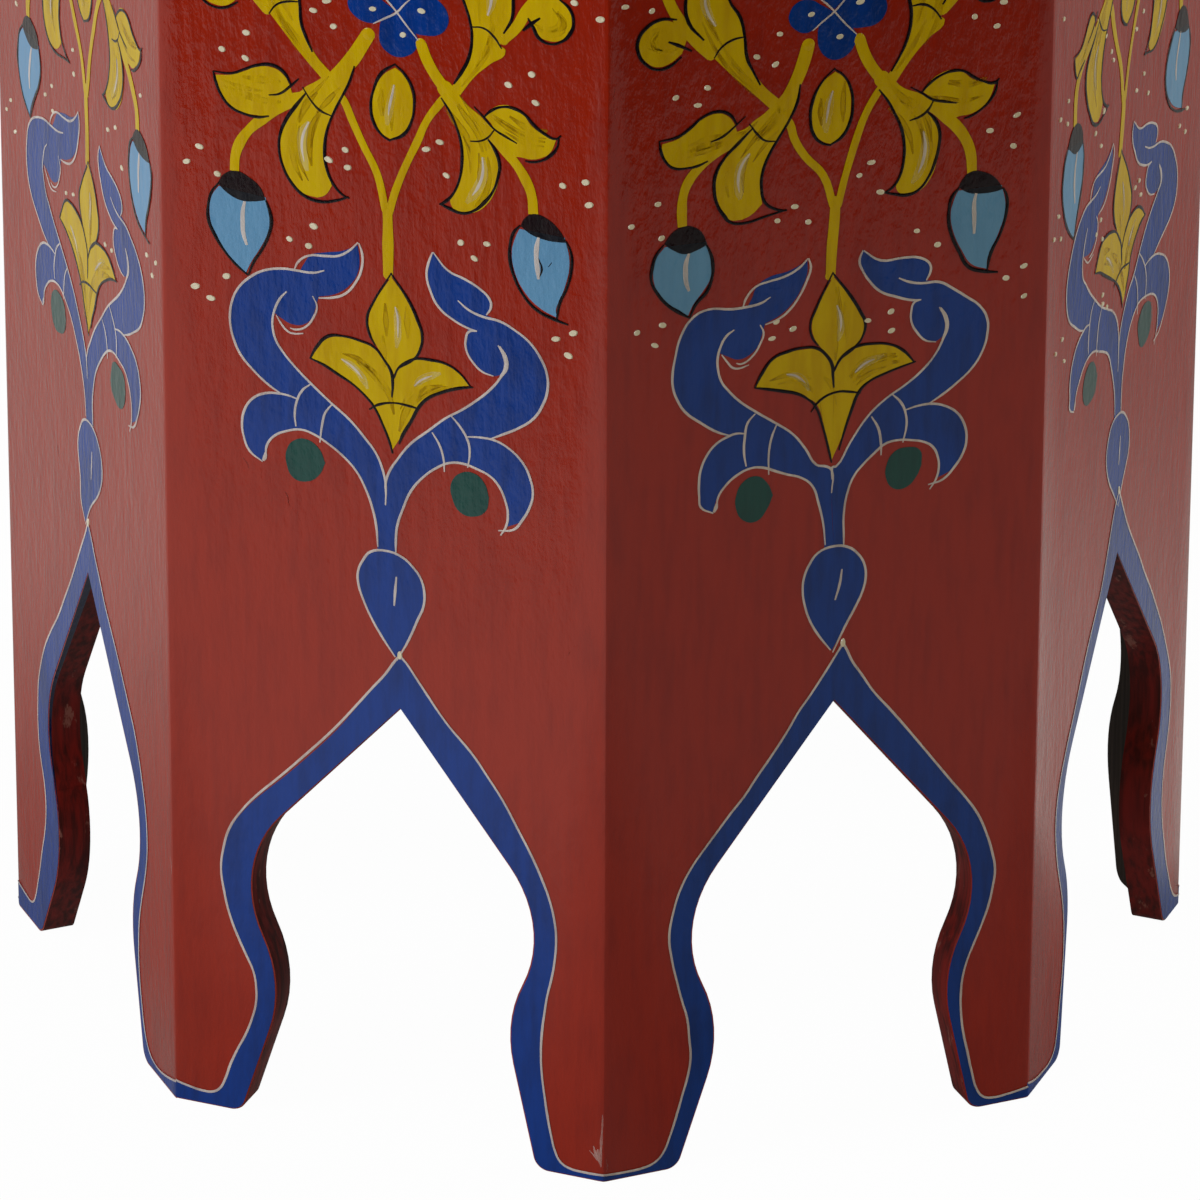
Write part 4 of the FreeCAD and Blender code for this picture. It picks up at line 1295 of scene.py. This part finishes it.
def arch_of(side):
    """The middle of the arch, and its tip, in millimetres."""
    points = [(p.x / mm, p.y / mm) for p in arches[side]]
    return (points[0][0] + points[-1][0]) / 2, max(points, key=lambda point: point[1])


def moves_of(side):
    moves = dict(measured_moves.get(side, {}))
    if not moves:
        chance = random.Random(side)
        for mark in chance_landmarks:
            moves[mark] = chance.uniform(-1, 1) * chance_move, chance.uniform(-1, 1) * chance_move
    tip = arch_of(side)[1]
    moves[arch_landmark] = tip[0] - master_tip[0], tip[1] - master_tip[1]
    moves[still_landmark] = (0, 0)
    return moves


def sway(moves, hand):
    """A function that moves a point of the master drawing to its place on one side."""

    def place(x, y):
        share = away_x = away_y = 0
        for (mark_x, mark_y), (move_x, move_y) in moves.items():
            near = 1 / (math.hypot(x - mark_x, y - mark_y) + 1) ** landmark_power
            share += near
            away_x += near * move_x
            away_y += near * move_y
        tremble_x, tremble_y = hand.uniform(-trembling, trembling), hand.uniform(-trembling, trembling)
        return x + away_x / share + tremble_x + paper_slip[0], y + away_y / share + tremble_y + paper_slip[1]

    return place


print("Measured", sum(len(moves) for moves in measured_moves.values()), "moves")

# %% [markdown]
# ## The blue border
#
# The border follows the saw cut, so it is drawn last and by the arch itself. Its inner edge is the
# arch's own edge, just clear of the eased arris. Its outer edge was drawn by eye, so it is pricked
# here for each of the four sides in the photograph, and the others take the front's, moved with
# their own arch. At the top a plain blue band runs under the moulding.

# %% Paint the borders
border_lines = {
    "front": (
        [(5.5, 190.5), (3, 187), (0, 182.3), (-5, 176), (-10, 169.5), (-20, 157), (-30, 146), (-40, 135.5),
         (-50, 125.5), (-55, 119.5), (-60, 111.5), (-62.5, 103), (-63.5, 95), (-62.5, 87), (-60.5, 78),
         (-57.5, 70), (-54, 62.5), (-51.5, 57), (-50.5, 51), (-50.6, 45), (-52, 39), (-55, 31), (-58, 25),
         (-61, 18), (-63, 12), (-65, 8), (-67.5, 6), (-72, 5.5), (-77, 6.2), (-82.6, 7.5)],
        [(5.5, 190.5), (8, 188), (12, 182.5), (16, 177), (20, 171.5), (25, 165.5), (30, 160.5), (34, 156),
         (38, 150.5), (44, 142), (50, 131.5), (55, 122.5), (59, 114), (62, 106), (63.8, 98), (64.3, 92),
         (63.8, 84), (62.5, 76), (61, 69.5), (60, 63), (59, 55), (58.6, 46), (59, 38), (60, 30), (61, 23),
         (62.5, 15), (64, 9), (66, 5.2), (69, 3.4), (75, 2.8), (82.6, 3)],
    ),
    "front_right": (
        [(7, 193), (5, 190), (2, 185.5), (-5, 175.5), (-10, 169), (-13, 164), (-20, 154), (-25, 147.5),
         (-30, 140.5), (-35, 135), (-40, 129), (-45, 123), (-50, 116.5), (-54, 109), (-56.5, 101),
         (-58, 92), (-57, 83), (-55, 74), (-53, 66), (-51, 59), (-50, 50), (-49.5, 43), (-50.5, 36),
         (-52.5, 29), (-54.5, 22), (-57, 14), (-60, 7), (-63, 4.2), (-67, 3), (-74, 2.7), (-82.6, 3)],
        [(7, 193), (8.5, 190), (10.5, 185.5), (14, 180), (19, 172), (25, 164.5), (30, 158), (40, 144.5),
         (50, 131), (55, 124.5), (60, 117), (63.5, 109), (66, 101), (67.3, 94), (66.5, 87), (65, 80),
         (62.5, 73), (60, 67), (57.5, 61), (55.8, 55), (55, 48), (55.2, 40), (56.2, 32), (58, 24), (60, 15),
         (62, 8), (64.5, 4.4), (68, 3.2), (74, 3.4), (82.6, 4.6)],
    ),
    "front_left": (
        [(2, 191), (0, 187), (-5, 179), (-10, 171), (-17, 160), (-24, 150), (-31, 140), (-40, 129.5),
         (-47, 120), (-51, 112), (-54, 104), (-55.2, 96), (-55.6, 86), (-54.8, 78), (-53, 72), (-50.6, 66),
         (-49.1, 59), (-49.2, 52), (-51, 44), (-54, 36), (-57, 27), (-60, 19), (-62.5, 13), (-65, 9.5),
         (-68, 8.2), (-72, 8.4), (-76, 9), (-82.6, 10)],
        [(2, 191), (5, 187), (9, 180), (13, 174), (18, 166), (24, 158.5), (30, 151), (36, 143), (41, 136),
         (46, 129), (50, 121), (54, 110), (56.5, 101), (57.5, 92), (57, 84), (55, 76), (52.5, 69), (50, 62),
         (48, 55), (47, 47), (46.7, 39), (47.5, 30), (49, 22), (51, 14), (54, 8), (57, 5.2), (61, 3.8),
         (66, 3.4), (72, 4.2), (82.6, 7)],
    ),
    "right": (
        [(-0.4, 203), (-4, 198), (-8, 190), (-12, 181), (-17, 171), (-23, 163), (-30, 154), (-36, 145),
         (-43, 134), (-50, 124), (-56, 114), (-59, 106), (-60, 98), (-59, 89), (-57, 81), (-54, 73),
         (-51, 65), (-49, 57), (-48, 49), (-48, 41), (-49, 32), (-51, 22), (-53, 12), (-55.5, 6),
         (-60, 3.6), (-68, 3.4), (-75, 4), (-82.6, 6)],
        [(-0.4, 203), (2, 199), (6, 192), (11, 184), (17, 176), (24, 167), (31, 157), (38, 148), (45, 138),
         (51, 129), (56, 120), (61, 110), (64, 102), (65, 94), (64.5, 85), (62.5, 76), (60, 68), (58.6, 60),
         (58.6, 52), (60, 43), (62.5, 35), (65, 27), (69, 18), (73, 10), (77, 6), (82.6, 4)],
    ),
}
red_gaps = {"front": 1.5}
gap_foot, gap_top = 108, 180
slip_foot, slip_top = 20, 140
lean_foot = 90
corner_x, corner_reach = 80, 10
band_foot, band_top = 540, 558
arris_clearance = 0.05
border_liner, band_liner, band_overlap = 0.86, 1.3, 0.3
tip_dab = (1.9, 3.4)
upper_flower = 188


def share_of(value, low, high):
    """0 below low and 1 above high, with an even rise between them."""
    return min(max((value - low) / (high - low), 0), 1)


def straight_sides(corners):
    """The sides of a shape with straight edges, each as an arc of two points."""
    return [[a, b] for a, b in zip(corners, corners[1:] + corners[:1])]


def slipped(line):
    """A pricked line, slipped up with the rest of the pattern, but not at the foot."""
    return [(x, y + paper_slip[1] * share_of(y, slip_foot, slip_top)) for x, y in line]


def border_of(side):
    """The border's two outer edges, each from over the tip to the corner of the foot."""
    if side in border_lines:
        return [slipped(line) for line in border_lines[side]]
    middle, tip = arch_of(side)
    plain_middle, plain_tip = arch_of("front")
    edges = []
    for line in border_lines["front"]:
        placed = []
        for x, y in line:
            lean = share_of(y, lean_foot, plain_tip[1])
            shift = (middle - plain_middle) * share_of(corner_x - abs(x), 0, corner_reach)
            drift = (tip[0] - middle - plain_tip[0] + plain_middle) * lean
            placed.append((x + shift + drift, y + (tip[1] - plain_tip[1]) * lean))
        edges.append(slipped(placed))
    return edges


def paint_border(painter, side):
    clear = arris / mm + arris_clearance
    edge_x = half_side / mm
    edge = [(point.x / mm, point.y / mm) for point in arches[side]]
    grown = []
    for number, (x, y) in enumerate(edge):
        before, after = edge[max(number - 1, 0)], edge[min(number + 1, len(edge) - 1)]
        along = Vector((after[0] - before[0], after[1] - before[1])).normalized()
        grown.append((x - along.y * clear, max(y + along.x * clear, clear)))
    left, right = border_of(side)
    gap = red_gaps.get(side, 0)
    blue_left = [(x + gap * math.sin(math.pi * share_of(y, gap_foot, gap_top)), y) for x, y in left]
    arcs = [right, [right[-1], (edge_x, clear)], [(edge_x, clear), grown[-1]]]
    arcs += [[a, b] for a, b in zip(grown[::-1], grown[-2::-1])]
    arcs += [[grown[0], (-edge_x, clear)], [(-edge_x, clear), left[-1]], blue_left[::-1]]
    painter.fill("blue", arcs, fineness=4)
    for half in (left, right):
        painter.line("cream", half, border_liner, start=1, end=1)
    painter.dab("dab", *left[0], *tip_dab, turn=0)
    band = [(-edge_x, band_foot), (edge_x, band_foot), (edge_x, band_top), (-edge_x, band_top)]
    painter.fill("blue", straight_sides(band))
    band_line = [(x, band_foot - band_overlap) for x in (-edge_x, -40, 0, 40, edge_x)]
    painter.line("cream", band_line, band_liner, start=1, end=1)


print("The border of the front has", len(border_of("front")[0] + border_of("front")[1]), "points")

# %% [markdown]
# ## Painting the sides
#
# Each side gets a painter, who draws the motifs through the side's own landmarks, and then the
# border and the wear where they really are. The three-petalled flower comes a second time, higher up.

# %% Paint the eight sides
def paint_side(side):
    hand = random.Random(f"{side} hand")
    drawn = Painter(sway(moves_of(side), hand), f"{side} strokes")
    for motif in (scrolls, flower, curled_leaves, spray, buds, rosette, upper_stem):
        drawn.draw(motif)
    drawn.dots([dot for dot in dots if side not in seen_dots or dot[1] > seen_top])
    for spot in green_spots:
        drawn.spot("green", *spot, *green_spot_size)
    on_side = drawn.place
    drawn.place = lambda x, y: on_side(x, y + upper_flower)
    drawn.draw(flower)
    drawn.place = lambda x, y: (x, y)
    drawn.dots(seen_dots.get(side, []), dot_sizes.get(side), 0)
    paint_border(drawn, side)
    for colour, width, points in worn_places.get(side, []):
        drawn.line(colour, points, width, 0.4, 0.3)
    drawn.finish(side, lay_on(side), "painted_panel")
    return drawn.strokes


strokes = sum(paint_side(side) for side in side_names)
print("The eight sides took", strokes, "strokes")

# %% [markdown]
# ## The edge moulding
#
# A moulding hides the end grain of the top. It was planed along one long stick and cut into eight,
# so here its section is drawn once, pushed out to a length, and cut at the same mitres as the
# boards. The section reads, from the bottom up: a flat that sits on the board, a hollow, a fillet,
# and a round nosing. The nosing is blue, the fillet is a cream line, and the hollow is red.

# %% Plane the edge moulding
nosing_radius = 7 * mm
hollow_radius = 6 * mm
moulding_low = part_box("edge_moulding_front")[0]
nosing_out = -moulding_low.y - nosing_radius - face_distance
lip_out = nosing_out - hollow_radius
nosing_middle = table_height - nosing_radius
fillet_height = 3 * mm
fillet_foot = nosing_middle - nosing_radius - fillet_height
paint_gap = 0.1 * mm
nosing_steps, hollow_steps = 14, 8
blue_edge, cream_edge = 0.4 * mm, 0.05 * mm
stick_share = 1.3


def moulding_section():
    """Points of the section as (out, up), from the foot of the flat to the back of the top."""
    points = [(0, moulding_low.z), (lip_out, moulding_low.z), (lip_out, fillet_foot - hollow_radius)]
    for number in range(hollow_steps + 1):
        turn = math.pi / 2 * number / hollow_steps
        points.append((
            nosing_out - hollow_radius * math.cos(turn),
            fillet_foot - hollow_radius + hollow_radius * math.sin(turn),
        ))
    for number in range(nosing_steps + 1):
        turn = math.pi * number / nosing_steps - math.pi / 2
        radius = nosing_radius - paint_gap
        points.append((nosing_out + radius * math.cos(turn), nosing_middle + radius * math.sin(turn)))
    points.append((0, nosing_middle + nosing_radius - paint_gap))
    return points


def moulding():
    mesh = bmesh.new()
    stick_end = half_side * stick_share
    section = mesh.faces.new([mesh.verts.new((-stick_end, up, out)) for out, up in moulding_section()])
    push_out(mesh, section, (2 * stick_end, 0, 0))
    mitre_ends(mesh)
    bmesh.ops.recalc_face_normals(mesh, faces=mesh.faces[:])
    for face in mesh.faces:
        height = face.calc_center_median().y
        if height > nosing_middle - nosing_radius + blue_edge:
            face.material_index = 0
        elif height > fillet_foot + cream_edge:
            face.material_index = 1
        else:
            face.material_index = 2
    return mesh


moulding_finishes = [paints["blue"], paints["dab"], red_ground]
for side in side_names:
    stick = finish_mesh(f"moulding_{side}", moulding(), moulding_finishes, lay_on(side))
    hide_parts(f"edge_moulding_{side}")
print("The moulding stands", round((nosing_out + nosing_radius) / mm, 1), "mm out from the boards")

# %% [markdown]
# ## The top
#
# The photograph is cut off below the top, so this painting is a guess: the border, flower and buds
# of the sides, set round in a ring. The top is four glued planks. Each is a box first, and the
# ring's eight planes saw it off. Its upper arrises are eased a touch, so that the glue lines show as
# fine grooves through the paint.

# %% Cut the planks of the top
plank_surface = table_height - 0.4 * mm
joint_ease = 0.35 * mm


def plank(node):
    low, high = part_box(node)
    high.z = plank_surface
    mesh = bmesh.new()
    matrix = Matrix.Translation((low + high) / 2) @ Matrix.Diagonal((*(high - low), 1))
    bmesh.ops.create_cube(mesh, size=1, matrix=matrix)
    for number in range(len(side_names)):
        out = Vector((math.cos(turn_step * number), math.sin(turn_step * number), 0))
        slice_mesh(mesh, out * face_distance, out, drop=True)
    upper = [edge for edge in mesh.edges if min(v.co.z for v in edge.verts) > plank_surface - touching]
    ease(mesh, upper, joint_ease)
    bmesh.ops.recalc_face_normals(mesh, faces=mesh.faces[:])
    for face in mesh.faces:
        face.material_index = 1 if face.normal.z < faces_in else 0
    return mesh


planks = sorted(name for name in nodes if name.startswith("top_plank"))
for node in planks:
    piece = finish_mesh(node.replace("top_", "painted_"), plank(node), [red_ground, stained_inside])
    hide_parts(node)
print("Cut", len(planks), "planks")

# %% [markdown]
# ## The painting on the top
#
# The pattern is an eighth, turned eight times: a petal of the rosette in the middle, a bud on a stem,
# some dots, and the flower of the sides between two scrolls. Most of its shapes are the same left and
# right, so only their halves are drawn. A blue ring with cream edges goes round it all.

# %% Paint the top
top_sheet = Matrix.Translation((0, 0, plank_surface))
ring_inner, ring_outer = 170, 188
flower_shift, flower_drop = -3.4, -207
petal_half = [(0, 4), (-9, 14), (-12.5, 26), (-9, 37), (0, 43)]
bud_half = [(0, 98), (-6, 92), (-7, 84), (-3, 76), (0, 72)]
bud_outline = [(0, 71), (4, 76), (7.8, 84), (6.8, 92), (0, 99)]
curl = [(9, 344), (20, 350), (32, 351.6), (40, 347), (39, 340), (33, 340)]


def turned(x, y, turn):
    return x * math.cos(turn) - y * math.sin(turn), x * math.sin(turn) + y * math.cos(turn)


def ring_corners(apothem):
    along = apothem * math.tan(mitre)
    return [turned(apothem, along, turn_step * number) for number in range(len(side_names))]


def both_halves(half):
    """A shape that is the same left and right, as two arcs."""
    return [half, [(-x, y) for x, y in half[::-1]]]


def paint_top_part(flat, turn):
    """One eighth of the top: a petal of the rosette, a bud, dots and a flower with two scrolls."""
    flat.place = lambda x, y: turned(x, y, turn + mitre)
    petal = both_halves(petal_half)
    flat.fill("blue", petal)
    for half in petal:
        flat.line("cream", half, 1.2)
    flat.dab("dab", 0, 29, 3, 5, turn=turn + mitre)
    flat.fill("sky", both_halves(bud_half))
    for hand in (-1, 1):
        flat.line("black", [(hand * x, y) for x, y in bud_outline], 1.1)
    flat.line("cream", [(-1.5, 80), (-2.4, 86), (-1, 92)], 1.2)
    flat.line("yellow", [(0, 43.5), (1, 54), (0.4, 64), (0, 72)], 2.6)
    for x, y in ((0, 108), (-4, 115), (4, 115), (-21, 152), (21, 152), (0, 132)):
        flat.dab("dab", x, y)
    flat.place = lambda x, y: turned(x + flower_shift, y + flower_drop, turn)
    flat.draw(flower)
    flat.line("yellow", [(3.4, 333.6), (3.6, 341), (3.4, 348)], 3)
    flat.dab("green", 3.4, 351.5, 8, 8)
    flat.line("yellow", [(3.4, 268), (3.2, 262), (3.4, 253)], 2.4)
    for hand in (-1, 1):
        flat.line("blue", [(3.4, 336), *((3 + hand * x, y) for x, y in curl)], 4.4)


def paint_top():
    flat = Painter(lambda x, y: (x, y), "top strokes")
    inner, outer = ring_corners(ring_inner), ring_corners(ring_outer)
    for (a, b), (d, c) in zip(straight_sides(inner), straight_sides(outer)):
        flat.fill("blue", straight_sides([a, b, c, d]), fineness=1)
    for a, b in straight_sides(inner) + straight_sides(outer):
        flat.line("cream", [a, ((a[0] + b[0]) / 2, (a[1] + b[1]) / 2), b], 1.4, start=1, end=1)
    for number in range(len(side_names)):
        paint_top_part(flat, turn_step * number)
    flat.place = lambda x, y: (x, y)
    flat.dab("yellow", 0, 0, 15, 15)
    flat.dab("black", 0, 0, 6, 6)
    flat.finish("top", top_sheet, "painted_top", roll=False)
    return flat.strokes


print("The top took", paint_top(), "strokes")

# %% [markdown]
# ## A floor, a backdrop and soft light
#
# The table is photographed on white. Lamps strong enough to turn the floor white would burn out the
# paint, so the floor is simply shown white to the camera, and keeps a trace of its shadow. Gloss
# paint also mirrors the floor, as a pale veil over the colours. The real floor was a white sheet. It
# ended in front of the table, so the veil ends high on the front boards, and it lay in more light
# on one side than on the other. So reflections see a floor of their own: a sheet with a front edge,
# and with a share of white for each side of the table. In front of the table, on its left, that
# sheet is darkened as painted shade, and near the table's foot as a painted shadow.

# %% Lay the floor
sheet_front, sheet_fade = -0.86, 0.05
left_corner, left_drawn_back = (-0.86, -0.66), 0.07
right_corner, right_drawn_back = (0.68, 0.84), 0.13
# Where the mirrored sheet lies in painted shade, in front of the table on its left, and how deep.
sheet_shade_across, sheet_shade_away, sheet_shade_share = (-0.85, -0.5), (-0.8, -0.52), 0.75
right_half, behind_table, far_behind = (-0.1, 0.1), (-0.25, 0.1), (0.08, 0.4)
left_share, behind_loss, right_loss = 0.68, 0.13, 0.35
back_right_loss, far_loss, least_share = 0.1, 0.29, 0.02
shadow_from, shadow_to, shadow_shrinks, shadow_share = 0.2, 0.52, 0.3, 0.6
camera_white, floor_grey, sheen_colour = 0.98, (0.68, 0.68, 0.68, 1.0), (1.0, 0.98, 0.92, 1.0)


def mirrored_floor(floor):
    """How bright the floor is in a reflection. Across and away are as the camera sees them."""
    spot = floor.object_place()
    from_table = floor.node("ShaderNodeVectorMath", {"operation": "LENGTH"}, {"Vector": spot}, "Value")
    seen = floor.node("ShaderNodeMapping", {}, {"Vector": spot, "Rotation": (0, 0, -facing)})
    across = floor.node("ShaderNodeSeparateXYZ", {}, {"Vector": seen}, "X")
    away = across.beside("Y")
    left_end = across.step(*left_corner) * left_drawn_back
    front_edge = across.step(*right_corner) * right_drawn_back - left_end + sheet_front + left_drawn_back
    on_sheet = away.step(front_edge - sheet_fade, front_edge + sheet_fade)
    behind = away.step(*behind_table)
    on_right = across.step(*right_half)
    back_right = on_right * behind
    # Painted shade on the mirrored sheet, in front of the table on its left.
    wear_and_shade = (1.0 - away.step(*sheet_shade_away)) * across.step(*sheet_shade_across) * (1.0 - on_right) * sheet_shade_share
    share = left_share - (behind - back_right) * behind_loss - (on_right - back_right) * right_loss
    share = share - back_right * (away.step(*far_behind) * far_loss + back_right_loss)
    shadow_end = shadow_to - back_right * shadow_shrinks
    shadow = from_table.step(shadow_from, shadow_end) * shadow_share + (1 - shadow_share)
    return (on_sheet * (1.0 - wear_and_shade) * share + least_share) * shadow


def floor_finish():
    floor = Finish(bpy.data.materials.new("floor_white"))
    to_camera = floor.node("ShaderNodeLightPath", {}, {}, "Is Camera Ray")
    to_gloss = to_camera.beside("Is Glossy Ray")
    shown = to_camera * camera_white + to_camera.beside("Is Transmission Ray") * camera_white
    plain = floor.node("ShaderNodeBsdfDiffuse", {}, {"Color": floor_grey})
    white = floor.node("ShaderNodeEmission", {}, {"Color": (1.0, 1.0, 1.0, 1.0), "Strength": 1.0})
    sheen = floor.node("ShaderNodeEmission", {}, {"Color": sheen_colour, "Strength": mirrored_floor(floor)})
    mixed = floor.node("ShaderNodeMixShader", {}, {"Fac": shown, "Shader": plain, "Shader_001": white})
    mixed = floor.node("ShaderNodeMixShader", {}, {"Fac": to_gloss, "Shader": mixed, "Shader_001": sheen})
    floor.set(floor.output, {"Surface": mixed})
    return floor.owner


floor_mesh = bmesh.new()
bmesh.ops.create_grid(floor_mesh, x_segments=1, y_segments=1, size=9)
floor = finish_mesh("floor", floor_mesh, [floor_finish()])

studio = Finish(bpy.data.worlds.new("studio"))
room_glow, room_in_gloss = 0.275, 0.125
seen_by_camera = studio.node("ShaderNodeLightPath", {}, {}, "Is Camera Ray")
mirrored = seen_by_camera.beside("Is Glossy Ray")
room_light = seen_by_camera * (1 - room_glow) - mirrored * (room_glow - room_in_gloss) + room_glow
room_colour = seen_by_camera.mix((1.0, 0.86, 0.52, 1.0), (1.0, 1.0, 1.0, 1.0))
bpy.context.scene.world = studio.surface({"Color": room_colour, "Strength": room_light})
print("The floor is white to the camera")

# %% [markdown]
# ## Window light
#
# Two windows light the table. Each lamp is a disc at a bearing round the table and an angle above
# the middle of the boards, both in degrees, at a distance and with a width in metres. Then come its
# power and its colour, which is a cool daylight against the warm glow of the room.

# %% Hang the lamps
lamps = {
    "window_left": (-130.0, 24.0, 2.6, 1.5, 54.0, (0.78, 0.84, 1.0)),
    "window_back_right": (40.0, 24.0, 2.6, 2.2, 42.0, (0.86, 0.9, 1.0)),
}
for name, (bearing, rise, distance, size, power, colour) in lamps.items():
    lamp = bpy.data.objects.new(name, bpy.data.lights.new(name, "AREA"))
    bpy.context.scene.collection.objects.link(lamp)
    lamp.data.shape = "DISK"
    lamp.data.size = size
    lamp.data.energy = power
    lamp.data.color = colour
    bearing, rise = math.radians(bearing), math.radians(rise)
    lamp.location = (
        distance * math.cos(rise) * math.cos(bearing),
        distance * math.cos(rise) * math.sin(bearing),
        distance * math.sin(rise) + panel_height / 2,
    )
    aim = Vector((0, 0, panel_height / 2)) - lamp.location
    lamp.rotation_euler = aim.to_track_quat("-Z", "Y").to_euler()
print("Hung", len(lamps), "lamps")
